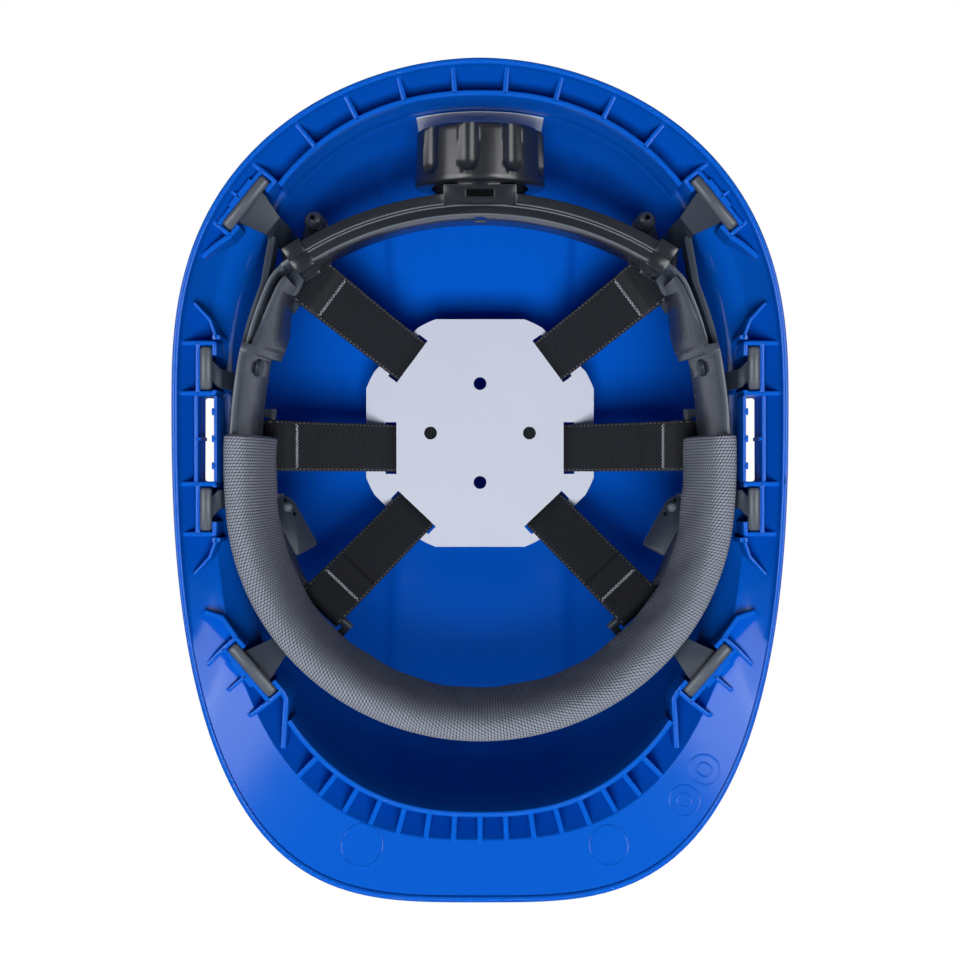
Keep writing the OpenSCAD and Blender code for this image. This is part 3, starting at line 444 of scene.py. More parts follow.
def woven_cloth():
    """Yarns over and under on the piece's own UV map, slanted as in a twill or a knit, with dashed edges."""
    sockets = {"Color": "Color", "Gap Color": "Color", "Across": "Float", "Along": "Float", "Hole": "Float",
               "Edge": "Float", "Edge Color": "Color"}
    tree, given, made = new_tree("ShaderNodeTree", "woven_cloth", sockets, EFFECT)

    def calc(kind, *values):
        return maths(tree, kind, *values)

    def yarns(place):
        return calc("POWER", calc("ABSOLUTE", calc("SINE", calc("MULTIPLY", place, pi))), YARN_POWER)

    uv = add(tree, "ShaderNodeSeparateXYZ", Vector=add(tree, "ShaderNodeUVMap").outputs["UV"]).outputs
    across = calc("MULTIPLY", uv["X"], given["Across"])
    along = calc("MULTIPLY", uv["Y"], given["Along"])
    weave = calc("MULTIPLY", yarns(calc("ADD", across, calc("MULTIPLY", along, YARN_SLANT))), yarns(along))
    place = add(tree, "ShaderNodeTexCoord").outputs["Object"]
    fuzz = add(tree, "ShaderNodeTexNoise", Vector=place, Scale=FUZZ_SCALE, Detail=2.0).outputs["Fac"]
    height = calc("ADD", weave, calc("MULTIPLY", fuzz, FUZZ))
    feed(tree, height, made["Height"])
    shade = add(tree, "ShaderNodeMapRange", Value=height, From_Min=given["Hole"],
                From_Max=calc("ADD", given["Hole"], YARN_RISE)).outputs["Result"]
    side = calc("ABSOLUTE", uv["X"])
    past = calc("GREATER_THAN", side, given["Edge"])
    short = calc("LESS_THAN", side, calc("ADD", given["Edge"], DASH_WIDE))
    dash = calc("GREATER_THAN", calc("SINE", calc("MULTIPLY", uv["Y"], 2 * pi / DASH_STEP)), DASH_GAP)
    trim = calc("MULTIPLY", calc("MULTIPLY", past, short), dash)
    color = mix_color(tree, shade, given["Gap Color"], given["Color"])
    feed(tree, mix_color(tree, trim, color, given["Edge Color"]), made["Color"])
    dry = add(tree, "ShaderNodeMapRange", Value=height, To_Min=0.95, To_Max=0.72)
    feed(tree, dry.outputs["Result"], made["Roughness"])
    return tree


GRAIN = moulded_grain()
CLOTH = woven_cloth()


def grouped_material(name, group, values, bump, distance, sockets):
    """A shader fed by an effect group, with constants on its other sockets."""
    material = bpy.data.materials.new(name)
    material.use_nodes = True
    tree = material.node_tree
    effect = add(tree, "ShaderNodeGroup", node_tree=group, **values).outputs
    relief = add(tree, "ShaderNodeBump", Strength=bump, Distance=distance, Height=effect["Height"])
    fed = {"Base Color": effect["Color"], "Roughness": effect["Roughness"], "Normal": relief.outputs["Normal"]}
    for key, value in (sockets | fed).items():
        feed(tree, value, tree.nodes["Principled BSDF"].inputs[key])
    return material


def plastic(name, color, gloss, tone=0.07, uneven=0.12, grain=1400.0, bump=0.05, specular=0.5, metal=0.0):
    values = {"Color": (*color, 1), "Tone": tone, "Gloss": gloss, "Unevenness": uneven, "Grain": grain}
    sockets = {"Specular IOR Level": specular, "Metallic": metal}
    return grouped_material(name, GRAIN, values, bump, 0.0004, sockets)


def cloth(name, color, gap, across, along, hole, bump, sheen, edge=1.0, edge_color=(0.1, 0.1, 0.1)):
    values = {"Color": (*color, 1), "Gap Color": (*gap, 1), "Across": across, "Along": along, "Hole": hole,
              "Edge": edge, "Edge Color": (*edge_color, 1)}
    sockets = {"Sheen Weight": sheen, "Specular IOR Level": 0.25}
    return grouped_material(name, CLOTH, values, bump, 0.0006, sockets)


shell_blue = plastic("shell_blue", (0.001, 0.087, 0.50), 0.16, tone=0.02, uneven=0.05, grain=260.0, bump=0.02,
                     specular=0.32)
cradle_grey = plastic("cradle_grey", (0.024, 0.032, 0.048), 0.36, bump=0.06, specular=0.3)
arm_grey = plastic("arm_grey", (0.050, 0.061, 0.080), 0.26, tone=0.1, uneven=0.15, bump=0.06)
nape_grey = plastic("nape_grey", (0.014, 0.017, 0.023), 0.21, specular=0.7)
# Lighter grey on the nape beads: painted highlight lines along the dark channel
bead_highlight_grey = plastic("bead_highlight_grey", (0.12, 0.135, 0.16), 0.25)
# Lighter copy of the cradle grey on the lug rods and temple pegs: painted highlight
lug_highlight_grey = plastic("lug_highlight_grey", (0.075, 0.087, 0.108), 0.28)
knob_black = plastic("knob_black", (0.015, 0.017, 0.022), 0.24, tone=0.1, grain=1800.0, bump=0.04, specular=0.8)
pad_sheet = plastic("pad_sheet", (0.51, 0.545, 0.635), 0.5, tone=0.03, uneven=0.1, grain=2400.0, bump=0.06,
                    specular=0.3)
label_film = plastic("label_film", (0.80, 0.82, 0.86), 0.4, tone=0.02, uneven=0.08, grain=1600.0, bump=0.03)
bare_steel = plastic("bare_steel", (0.55, 0.55, 0.57), 0.34, tone=0.05, uneven=0.2, grain=2500.0, bump=0.03,
                     metal=1.0)
webbing = cloth("webbing", (0.013, 0.015, 0.020), (0.004, 0.005, 0.007), across=800.0, along=980.0, hole=0.25,
                bump=0.5, sheen=0.04, edge=0.0085, edge_color=(0.085, 0.09, 0.105))
mesh_knit = cloth("mesh_knit", (0.275, 0.305, 0.372), (0.036, 0.041, 0.054), across=820.0, along=940.0,
                  hole=0.30, bump=0.8, sheen=0.1)
thread = plastic("thread", (0.36, 0.38, 0.42), 0.7, tone=0.12, uneven=0.1, grain=3000.0, bump=0.3, specular=0.2)
# Near-black painted shade: a pane in the housing's window recess and small domes standing in for each peg hole
painted_shade = plastic("painted_shade", (0.002, 0.002, 0.003), 0.6, tone=0.1, uneven=0.1, grain=1800.0,
                      specular=0.05)


# Shell skin: one closed surface round the wall, with the two accessory slots cut through
def shell_skin():
    rings = []
    for i in range(SKIN_STEPS):
        a = (i + 0.5) * 360 / SKIN_STEPS
        rings.append(side_rows(a, 0.0) + rim_rows(a) + side_rows(a, WALL)[::-1])
    n = len(rings[0])
    points = [p for r in rings for p in r] + [(0, CROWN_Y, SHELL_H), (0, CROWN_Y, SHELL_H - WALL)]
    outer, inner = len(points) - 2, len(points) - 1
    faces, ends = [], []
    for i in range(SKIN_STEPS):
        k = (i + 1) % SKIN_STEPS
        faces += [(i * n + j, i * n + j + 1, k * n + j + 1, k * n + j) for j in range(n - 1)]
        ends += [(outer, i * n, k * n), (inner, k * n + n - 1, i * n + n - 1)]
    obj = new_object("shell_skin", new_mesh("shell_skin", points, faces + ends))
    cutter = slot_cutter()
    cut = obj.modifiers.new("slots", "BOOLEAN")
    cut.object = cutter
    cut.operation = "DIFFERENCE"
    cut.solver = "EXACT"
    mesh = take_mesh(obj)
    bpy.data.objects.remove(cutter)
    finish_piece("shell_skin", mesh, shell_blue, "helmet", "shell", "shell_blue", SKIN_SHARP)


def slot_cutter():
    """Two upright blocks with round corners."""
    plan = round_box(SLOT_W / 2, SLOT_L / 2, [SLOT_SOFT] * 4, 30)
    runs = []
    for side in (-1, 1):
        middle = np.array((side * (SLOT_IN + SLOT_W / 2), SLOT_Y))
        runs.append([[(*(middle + p), z) for p in plan] for z in (-5.0, 60.0)])
    return new_object("slot_cutter", new_mesh("slot_cutter", *loft_all(runs)))


# Walls under the shell, each a run of plan points with a thickness
REAR_LUG = (on_outline(40.3, RING, 7.6), 39.0)
FRONT_LUG = (on_outline(-49.7, RING, 4.2), -41.0)
POCKET_HALF = LUG_L / 2 + LUG_GAP + SOCKET_T / 2
POCKET_OUT = LUG_T / 2 + LUG_GAP + SOCKET_T / 2
THROAT = STEM_W / 2 + LUG_GAP + SOCKET_T / 2
SIDE_LUG_X = RING_HALF + WALL + SLOT_W / 2 + 0.2
SIDE_LUG_OFF = SLOT_L / 2 + SIDE_LUG_L / 2 + 2.2
SIDE_WALL_X = SIDE_LUG_X - POCKET_OUT
SIDE_POCKET_X = SIDE_LUG_X + POCKET_OUT
SIDE_HALF = SIDE_LUG_L / 2 + LUG_GAP + SOCKET_T / 2
SIDE_THROAT = SIDE_STEM_W / 2 + LUG_GAP + SOCKET_T / 2


def from_lug(lug, out, along):
    return lug[0] + polar(out, lug[1]) + polar(along, lug[1] + 90)


def ring_line(a):
    return on_outline(a, RING, WALL / 2)


def rib_run(a, out, rise=0.0):
    """A rib from the ring wall outwards, whose foot rises as it goes."""
    p = ring_line(a)
    return [p, p + out * outline_normal(a, RING)], RIB_T, rise


def ring_end(spot, first, last):
    """Bearing at which the ring wall comes nearest to a spot."""
    bearings = np.arange(first, last, 0.1)
    return min(bearings, key=lambda a: np.linalg.norm(ring_line(round(float(a), 2)) - spot))


def socket_runs(lug, out_reach):
    """Walls of a lug's pocket, with an open throat on the inner side and ribs behind it."""

    def at(out, along):
        return from_lug(lug, out, along)

    runs, far, step = [], POCKET_OUT + out_reach, POCKET_OUT + SOCKET_T / 2
    for side in (-1, 1):
        end = side * POCKET_HALF
        runs.append(([at(-POCKET_OUT, side * THROAT), at(-POCKET_OUT, end), at(POCKET_OUT, end),
                      at(far, side * (POCKET_HALF - 0.6))], SOCKET_T))
    runs.append(([at(POCKET_OUT, -POCKET_HALF), at(POCKET_OUT, POCKET_HALF)], SOCKET_T))
    runs.append(([at(POCKET_OUT, 0), at(far, 0)], RIB_T * 0.7))
    runs.append(([at(step, -LUG_L / 5), at(step, LUG_L / 3)], SOCKET_T))
    return runs


def side_runs():
    """Pockets, pins and stays beside a slot, then the slot's own walls and nubs."""
    far = SHELL_W / 2
    runs = []
    for side in (-1, 1):
        y = SLOT_Y + side * SIDE_LUG_OFF
        inner = y - side * (SIDE_THROAT + SIDE_SHIFT * 0.95)
        for throat, end in ((inner, y - side * SIDE_HALF), (y + side * SIDE_THROAT, y + side * SIDE_HALF)):
            runs.append(([(SIDE_WALL_X, throat), (SIDE_WALL_X, end), (far, end)], SOCKET_T))
        runs.append(([(SIDE_POCKET_X, y - SIDE_HALF), (SIDE_POCKET_X, y + SIDE_HALF)], SOCKET_T))
        pin = np.array((SIDE_WALL_X - 0.6, y + side * (SIDE_HALF + 2)))
        runs.append(([pin - (0, 0.7), pin + (0, 0.7)], 3.0))
        runs.append(([pin, pin + (2.1, side * 6), pin + (7.6, side * 12)], RIB_T * 0.6))
    for edge, way, t in ((SLOT_IN, -1, 1.1), (SLOT_IN + SLOT_W, 1, 1.5)):
        x = edge + way * (t / 2 + 0.02)
        runs.append(([(x, SLOT_Y - SLOT_L / 2), (x, SLOT_Y + SLOT_L / 2)], t))
    runs += [([(SLOT_IN - 0.6, SLOT_Y + y), (SLOT_IN + 0.7, SLOT_Y + y)], 2.4) for y in (-9.5, 0.0, 9.5)]
    runs.append(([(SLOT_IN + SLOT_W + 0.8, SLOT_Y), (SLOT_IN + SLOT_W - 1.0, SLOT_Y)], 1.2))
    return runs


def wall_runs():
    """All walls of one side with their mirror images, and those that cross the middle."""
    runs = socket_runs(REAR_LUG, REAR_SKIRT) + socket_runs(FRONT_LUG, FRONT_REACH) + side_runs()
    runs += [rib_run(90 - (k + 0.5) * REAR_RIB_STEP, REAR_SKIRT) for k in range(REAR_RIBS)]
    runs += [rib_run(-90 + k * PEAK_RIB_STEP, PEAK_REACH / 3, PEAK_RISE) for k in range(1, PEAK_RIBS + 1)]
    for lug, side, bend, end in ((REAR_LUG, -1, (4.5, -3), (10, -7.5)), (FRONT_LUG, 1, (5, 7), (11, 9)),
                                 (FRONT_LUG, -1, (-1.5, -3), (-0.5, -20))):
        tail = from_lug(lug, -POCKET_OUT, side * POCKET_HALF)
        runs.append(([tail, tail + bend, tail + end], RIB_T))
    front_end = ring_end(tail + (-1.0, -11.5), -64, -50)
    rear_end = ring_end(from_lug(REAR_LUG, -POCKET_OUT, POCKET_HALF), 38, 50)
    both = runs + [([(-p[0], p[1]) for p in run[0]], *run[1:]) for run in runs]
    both.append(rib_run(-90, PEAK_REACH / 3, PEAK_RISE))
    for end, turn in ((rear_end, 180), (front_end, -180)):
        both.append(([ring_line(mix(end, turn - end, i / RING_STEPS)) for i in range(RING_STEPS + 1)], RIB_T))
    return both


def resample(points, step):
    points = [np.asarray(p, float) for p in points]
    out = [points[0]]
    for a, b in zip(points, points[1:]):
        n = max(1, ceil(np.linalg.norm(b - a) / step))
        out += [mix(a, b, k / n) for k in range(1, n + 1)]
    return out


def inside_rim(p):
    a = degrees(atan2(p[1] - WAIST_Y, p[0]))
    return hypot(p[0], p[1] - WAIST_Y) < reach(round(a, 2), RIM) - LIP_W * 0.6


def wall_rings(points, t, rise=0.0):
    """Sections of a wall: soft lower edge at the rib height, top inside the shell's own wall."""
    line = [p for p in resample(points, WALL_STEP) if inside_rim(p)]
    rings = []
    for i, p in enumerate(line):
        way = unit(way_at(line, i))
        side = np.array((way[1], -way[0]))
        h, soft = t / 2, min(0.6, t * 0.32)
        top = ceiling(*p) + WALL * 0.4
        foot = RIB_Z + rise * i / max(1, len(line) - 1)
        half = [(h, top), (h, foot + soft), (h - soft * 0.3, foot + soft * 0.3), (h - soft, foot)]
        section = half + [(-n, z) for n, z in reversed(half)]
        rings.append([(*(p + side * n), z) for n, z in section])
    return rings


def shell_walls():
    runs = [wall_rings(*run) for run in wall_runs()]
    walls = loft_all([rings for rings in runs if len(rings) > 1])
    new_piece("shell_walls", *walls, shell_blue, "helmet", "shell", "shell_blue", SKIN_SHARP)


# Moulding circles on the underside of the peak: place, radius
MARKS = ((41.5, -128.3, 7.2), (-45.3, -128.3, 6.7), (-78.7, -101.6, 5.2), (-78.7, -101.6, 2.4),
         (-71.7, -112.4, 5.2), (-71.7, -112.4, 2.4))
MARK_HALF, MARK_SINK, MARK_STEPS = 0.35, 0.05, 48


def ring_mark(x, y, radius):
    rings = []
    for i in range(MARK_STEPS + 1):
        ring = []
        for k in range(0, 360, 60):
            px, py = np.array((x, y)) + polar(radius + MARK_HALF * cosd(k), i * 360 / MARK_STEPS)
            ring.append((px, py, ceiling(px, py) - MARK_SINK + MARK_HALF / 2 * sind(k)))
        rings.append(ring)
    return rings


def peak_marks():
    marks = loft_all([ring_mark(*mark) for mark in MARKS], caps=False)
    new_piece("peak_marks", *marks, shell_blue, "helmet", None, "shell_blue")


# Blank sticker on the rear inside wall
def sticker():
    cols, rows, gap, thick = 30, 16, 0.1, 0.25
    span, low, high = 12.5, 1.0, 30.0

    def spot(i, j, off):
        a = round(90 + (i / cols - 0.5) * 2 * span, 3)
        return dome_point(a, mix(low, high, j / rows), -off, SKIRT_H - WALL, SHELL_H - WALL)

    rings = [[spot(i, j, gap) for i in range(cols + 1)] + [spot(i, j, gap + thick) for i in range(cols, -1, -1)]
             for j in range(rows + 1)]
    new_piece("sticker", *loft(rings), label_film, "helmet", "inner_label", "label", CLOTH_SHARP)


# The band's line in plan: nape, corner, temple and brow arcs
def band_p(h):
    if h <= NAPE_TURN:
        return np.array((0, NAPE_Y)) + NAPE_R * np.array((sind(h), cosd(h) - 1))
    for first, last, radius in ((NAPE_TURN, CORNER_TURN, CORNER_R), (CORNER_TURN, TEMPLE_TURN, TEMPLE_R)):
        if h <= last:
            return band_p(first) + radius * np.array((sind(h) - sind(first), cosd(h) - cosd(first)))
    depth = BROW_STRETCH * (cosd(h) - cosd(TEMPLE_TURN))
    return band_p(TEMPLE_TURN) + BROW_R * np.array((sind(h) - sind(TEMPLE_TURN), depth))


NAPE_REACH = RING_HALF - TEMPLE_GAP - CORNER_R * sind(CORNER_TURN) - TEMPLE_R * (1 - sind(CORNER_TURN))
NAPE_TURN = degrees(asin(NAPE_REACH / (NAPE_R - CORNER_R)))
NAPE_LEN = radians(NAPE_TURN) * NAPE_R
CORNER_LEN = NAPE_LEN + radians(CORNER_TURN - NAPE_TURN) * CORNER_R
TEMPLE_LEN = CORNER_LEN + radians(TEMPLE_TURN - CORNER_TURN) * TEMPLE_R
BROW_R = band_p(TEMPLE_TURN)[0] / sind(TEMPLE_TURN)
BROW_Y = BROW_GAP + PEAK_REACH - SHELL_L / 2
BROW_STRETCH = (band_p(TEMPLE_TURN)[1] - BROW_Y) / (BROW_R * (1 + cosd(TEMPLE_TURN)))
BAND_LEN = TEMPLE_LEN + radians(180 - TEMPLE_TURN) * BROW_R
SWEAT_END = CORNER_LEN + ARM_RUN - SWEAT_LAP
LEAN_Z = BAND_Z + BAND_H / 2
BAND_TOP = BAND_Z + BAND_H


def heading(s):
    """Direction of the band at a distance from the middle of the nape."""
    for start, end, turn, radius in ((0, NAPE_LEN, 0, NAPE_R), (NAPE_LEN, CORNER_LEN, NAPE_TURN, CORNER_R),
                                     (CORNER_LEN, TEMPLE_LEN, CORNER_TURN, TEMPLE_R)):
        if s <= end:
            return turn + degrees((s - start) / radius)
    return TEMPLE_TURN + degrees((s - TEMPLE_LEN) / BROW_R)


def band_xy(s, n=0.0):
    if s > BAND_LEN:
        return band_xy(2 * BAND_LEN - s, n) * FLIP
    h = heading(s)
    return band_p(h) + n * np.array((-sind(h), -cosd(h)))


def band_xyz(s, n, z):
    lean = BAND_LEAN * smooth((min(s, 2 * BAND_LEN - s) - NAPE_LEN) / LEAN_RUN)
    return np.append(band_xy(s, n + (z - LEAN_Z) * tan(radians(lean))), z)


def spline(points, per_span):
    """A smooth open curve through points."""
    points = [np.asarray(p, float) for p in points]
    padded = [2 * points[0] - points[1], *points, 2 * points[-1] - points[-2]]
    out = []
    for i in range(1, len(padded) - 2):
        a, b, c, d = padded[i - 1:i + 3]
        for k in range(per_span):
            t = k / per_span
            out.append(0.5 * (2 * b + (c - a) * t + (2 * a - 5 * b + 4 * c - d) * t * t
                              + (3 * b - a - 3 * c + d) * t ** 3))
    return [*out, points[-1]]


def lay_uv(obj, uv_of_point):
    """Writes a UV map in metres from a value per vertex."""
    layer = obj.data.uv_layers.new(name="cloth")
    for loop in obj.data.loops:
        layer.data[loop.index].uv = uv_of_point[loop.vertex_index]


def run_lengths(points):
    """Distance of each point along a line."""
    return np.cumsum([0] + [np.linalg.norm(b - a) for a, b in zip(points, points[1:])])


# Padded mesh strip folded round the band's lower edge
def sweatband():
    inside, low, top = BAND_T / 2 + WEB_GAP, BAND_Z - WEB_GAP, BAND_TOP + 1.5
    face = [(-inside - 0.1, low + 8), (-inside - 0.9, low + 6.6), (-inside - 1.1, low - 0.5),
            (-inside + 0.2, low - 4.2), (inside + 1.5, low - 5.6)]
    face += [(inside + SWEAT_T * share, z) for share, z in (
        (0.72, low - 3.6), (0.98, low + 3), (1.0, low + 12), (0.9, top - 8), (0.55, top - 1.4), (0.25, top))]
    section = spline(face, 5) + [np.array(p) for p in ((inside, top - 1), (inside, low), (-inside, low))]
    lengths = run_lengths(section)
    middle = np.mean(section, axis=0)
    stations = np.linspace(SWEAT_END, 2 * BAND_LEN - SWEAT_END, 260)
    ends = [(-1.0, 0.7), (-0.8, 0.9), (-0.4, 0.97)]
    rows = [(stations[0] + d, k) for d, k in ends] + [(s, 1.0) for s in stations]
    rows += [(stations[-1] - d, k) for d, k in reversed(ends)]
    rings, uv = [], []
    for s, k in rows:
        ring = []
        for q, length in zip(section, lengths):
            n, z = mix(middle, q, k)
            swell = 0.22 * sin(s * 0.11) + 0.16 * sin(s * 0.29 + z * 0.2)
            ring.append(band_xyz(s, n + swell * (1 if n > inside + 1 else 0), z))
            uv.append((length * MM, s * MM))
        rings.append(ring)
    obj = new_piece("sweatband_pad", *loft(rings), mesh_knit, "helmet", "sweatband", "sweat_fabric",
                    CLOTH_SHARP)
    lay_uv(obj, uv)


# Webbing straps
PAD_MIDDLE = np.array((0, PAD_Y))
BARS = (band_xy(NAPE_LEN - 4, 5), band_xy(SWEAT_END + 2, 6), band_xy(TEMPLE_LEN + 44, 11))
SLITS = (PAD_MIDDLE + polar(42, 46), np.array((36, BARS[1][1])), PAD_MIDDLE + polar(42, -50))
STRAP_RISE = PAD_Z + PAD_T / 2 - BAR_Z
ROLL = BAR_D / 2 + WEB_GAP + WEB_T / 2
LAP = ROLL - WEB_T - LAP_GAP


def strap_axes(bar, slit):
    """Plan direction and distance from bar to slit, the run and normal upright over it, and a slope."""
    d, far = unit(slit - bar), np.linalg.norm(slit - bar)
    run = unit((far, STRAP_RISE))
    return d, far, run, np.array((-run[1], run[0])), ROLL / hypot(far, STRAP_RISE)


def half_strap(bar, slit, layer):
    """Points and width directions: sewn tail, round the bar, up to the slit and over the pad."""
    d, far, run, normal, slope = strap_axes(bar, slit)
    tail = [(25, LAP - 25 * slope), (18, LAP - 18 * slope), (13, LAP - LAP_DIP - 13 * slope), (8, LAP - 2.2),
            (3.5, -ROLL)]
    path = [q[0] * run + q[1] * normal for q in tail]
    path += [ROLL * (cosd(w) * normal - sind(w) * run) for w in range(180, -1, -20)]
    start, end = ROLL * normal, np.array((far, STRAP_RISE))
    path += [mix(start, end, t) for t in (0.2, 0.4, 0.6, 0.8, 1)]
    path += [end + 3 * run, np.array((far + 6, layer + 0.5 - BAR_Z)), np.array((far + 10, layer - BAR_Z))]
    wide = np.array((-d[1], d[0], 0.0))
    return [(np.array((*(bar + d * q[0]), BAR_Z + q[1])), wide) for q in path]


def strap(name, ends, level):
    layer = PAD_Z + PAD_T + WEB_GAP + WEB_T / 2 + level * (WEB_T + WEB_GAP)
    first, second = (half_strap(bar, slit, layer) for bar, slit in ends)
    second = [(p, -w) for p, w in reversed(second)]
    (p, w), (q, v) = first[-1], second[0]
    joint = [(mix(p, q, t), unit(mix(w, v, t))) for t in (0.25, 0.5, 0.75)]
    line = first + joint + second
    places = spline([p for p, _ in line], 3)
    widths = spline([w for _, w in line], 3)
    run = run_lengths(places)
    rings, uv = [], []
    h, half, soft, edge = WEB_T / 2, WEB_W / 2, 0.35, 0.25
    face = [(x, h) for x in np.linspace(half - soft, soft - half, 9)] + [(-half, edge), (-half, -edge)]
    section = face + [(-x, -z) for x, z in face]
    for i, (p, w) in enumerate(zip(places, widths)):
        w = unit(w)
        up = unit(np.cross(way_at(places, i), w))
        rings.append([p + x * w + z * up for x, z in section])
        uv += [(x * MM, run[i] * MM) for x, _ in section]
    obj = new_piece(name + "_webbing", *loft(rings), webbing, "helmet", name, "webbing", CLOTH_SHARP)
    lay_uv(obj, uv)


LEFT = [*zip(BARS, SLITS)]
RIGHT = [(bar * FLIP, slit * FLIP) for bar, slit in LEFT]
STRAPS = (("strap_cross", (LEFT[1], RIGHT[1])), ("strap_diagonal_left", (LEFT[0], RIGHT[2])),
          ("strap_diagonal_right", (RIGHT[0], LEFT[2])))


# Stitch rows, as instances of one thread loop along each row
def stitch_tree():
    sockets = {"Rows": "Geometry", "Stitch Length": "Float", "Thread Radius": "Float", "Thread": "Material"}
    tree, given, made = new_tree("GeometryNodeTree", "stitch_row", sockets, {"Stitches": "Geometry"})
    curve = add(tree, "GeometryNodeMeshToCurve", Mesh=given["Rows"])
    spaced = add(tree, "GeometryNodeResampleCurve", mode="LENGTH", Curve=curve.outputs[0],
                 Length=given["Stitch Length"])
    tangent = add(tree, "GeometryNodeInputTangent")
    turn = add(tree, "FunctionNodeAlignRotationToVector", axis="Z", Vector=tangent.outputs[0])
    loop = add(tree, "GeometryNodeMeshUVSphere", Segments=8, Rings=6, Radius=given["Thread Radius"])
    long = add(tree, "GeometryNodeTransform", Geometry=loop.outputs["Mesh"], Scale=(1.0, 1.0, THREAD_LONG))
    place = add(tree, "GeometryNodeInstanceOnPoints", Points=spaced.outputs[0], Instance=long.outputs[0],
                Rotation=turn.outputs["Rotation"])
    real = add(tree, "GeometryNodeRealizeInstances", Geometry=place.outputs[0])
    paint = add(tree, "GeometryNodeSetMaterial", Geometry=real.outputs[0], Material=given["Thread"])
    feed(tree, paint.outputs[0], made["Stitches"])
    return tree


def set_input(modifier, label, value):
    modifier[modifier.node_group.interface.items_tree[label].identifier] = value


def strap_stitches():
    points, edges = [], []
    for _, ends in STRAPS:
        for bar, slit in ends:
            d, _, run, normal, slope = strap_axes(bar, slit)
            off = LAP - LAP_DIP - STITCH_AT * slope - WEB_T / 2 - STITCH_OUT
            side = np.array((-d[1], d[0]))
            first = len(points)
            for k in range(STITCHES + 1):
                x = mix(-WEB_W / 2 + STITCH_IN, WEB_W / 2 - STITCH_IN, k / STITCHES)
                q = (STITCH_AT + (STITCH_ZIG if k % 2 else -STITCH_ZIG)) * run + off * normal
                points.append((*(bar + d * q[0] + side * x), BAR_Z + q[1]))
            edges += [(first + k, first + k + 1) for k in range(STITCHES)]
    obj = new_object("strap_stitches", new_mesh("strap_stitches", points, edges=edges))
    sew = obj.modifiers.new("sew", "NODES")
    sew.node_group = stitch_tree()
    set_input(sew, "Stitch Length", STITCH_L * MM)
    set_input(sew, "Thread Radius", THREAD_R * MM)
    set_input(sew, "Thread", thread)
    finish_piece("strap_stitches", take_mesh(obj), thread, "helmet", None, "webbing", 180)


# Fluted hand knob on the rear axis
def knob_piece():
    around, half, steps = FLUTES * 24, KNOB_D / 2, 16
    edge, crown, draft = 0.9, 1.8, 0.5
    back, hub, deep, bottom = 5.9, 1.7, KNOB_L - 2.5, KNOB_L - 4.5
    outline = [(half - 5.4, 0.0), (half - edge, 0.0), (half - 0.25, 0.25), (half, edge)]
    outline += [(half - draft * k / steps, mix(edge, KNOB_L - crown, k / steps)) for k in range(1, steps + 1)]
    outline += [(half - draft - crown * (1 - cosd(w)), KNOB_L - crown + crown * sind(w))
                for w in (22, 45, 67, 90)]
    outline += [(half - 6, KNOB_L), (half - 8, KNOB_L - 0.1), (half - 9, KNOB_L - 0.8), (6.5, KNOB_L - 1.0),
                (4.2, KNOB_L - 1.0), (3.8, KNOB_L - 1.3), (3.7, deep), (hub, deep), (hub, bottom),
                (half - back, bottom), (half - back, 0.0)]
    flute_r, flute_out, flute_from, flute_in = 4.1, half + 1.3, KNOB_L * 0.34, half - 4
    rings = []
    for r, y in outline:
        ring = []
        for i in range(around):
            w = i * 360 / around
            turn = ((w / 360 * FLUTES + 0.5) % 1 - 0.5) * 360 / FLUTES
            room = flute_r ** 2 - (flute_out * sind(turn)) ** 2 - max(0.0, flute_from - y) ** 2
            cut = flute_out * cosd(turn) - sqrt(room) if room > 0 and r > flute_in else r
            x, z = polar(min(r, cut), w)
            ring.append((x, KNOB_Y + y, KNOB_Z - z))
        rings.append(ring)
    points, faces = loft(rings, caps=False)
    last = len(points) - around
    faces += [(last + i, i, (i + 1) % around, last + (i + 1) % around) for i in range(around)]
    new_piece("ratchet_knob", points, faces, knob_black, "knob", "knob", "knob_black", KNOB_SHARP)


# Small housing plate under the ratchet, with a window recess that holds a near-black pane as painted shade, and
# beads along the nape channel, painted lighter as painted highlight lines
def rectangle(low, high, z):
    return [(x, y, z) for x, y in (low, (high[0], low[1]), high, (low[0], high[1]))]


def housing_plate():
    z, y = KNOB_Z - CHANNEL_Z, NAPE_Y - 0.6
    half, low, high, deep = 12.9, z - 4.2, z + 3.6, 0.8
    plan = (-half, y), (half, KNOB_Y - 0.9)
    window = (-4.9, y + 2.5), (4.9, y + 5.1)
    inset = (-4.7, y + 2.7), (4.7, y + 4.9)
    rings = [rectangle(*plan, high), rectangle(*plan, low), rectangle(*window, low),
             rectangle(*window, low + deep)]
    obj = new_object("housing_plate", new_mesh("housing_plate", *loft(rings)))
    soft_edges(obj, 0.3)
    finish_piece("housing_plate", take_mesh(obj), nape_grey, "nape", None, "nape_grey", MOULD_SHARP)
    # Near-black pane at the back of the window recess: painted shade
    shade_pane = loft([rectangle(*inset, low + deep - 0.3), rectangle(*inset, low + deep - 0.02)])
    new_piece("housing_window_shade", *shade_pane, painted_shade, "nape", None, "knob_black")


# Beads, painted in a lighter grey as painted highlight lines: distance from the channel's middle line, radius
BEADS, BEAD_STEPS = ((-0.5, 0.28), (0.5, 0.28), (3.8, 0.36)), 80


def bead_rings(n, r):
    rings, far = [], NAPE_LEN - 4
    for i in range(BEAD_STEPS + 1):
        h = degrees(mix(-far, far, i / BEAD_STEPS) / NAPE_R)
        out = np.array((sind(h), cosd(h)))
        middle = np.array((0, NAPE_Y - NAPE_R)) + (NAPE_R - n) * out
        rings.append([(*(middle + out * r * cosd(w)), KNOB_Z - CHANNEL_Z - r * sind(w) * 0.8)
                      for w in range(0, 360, 45)])
    return rings


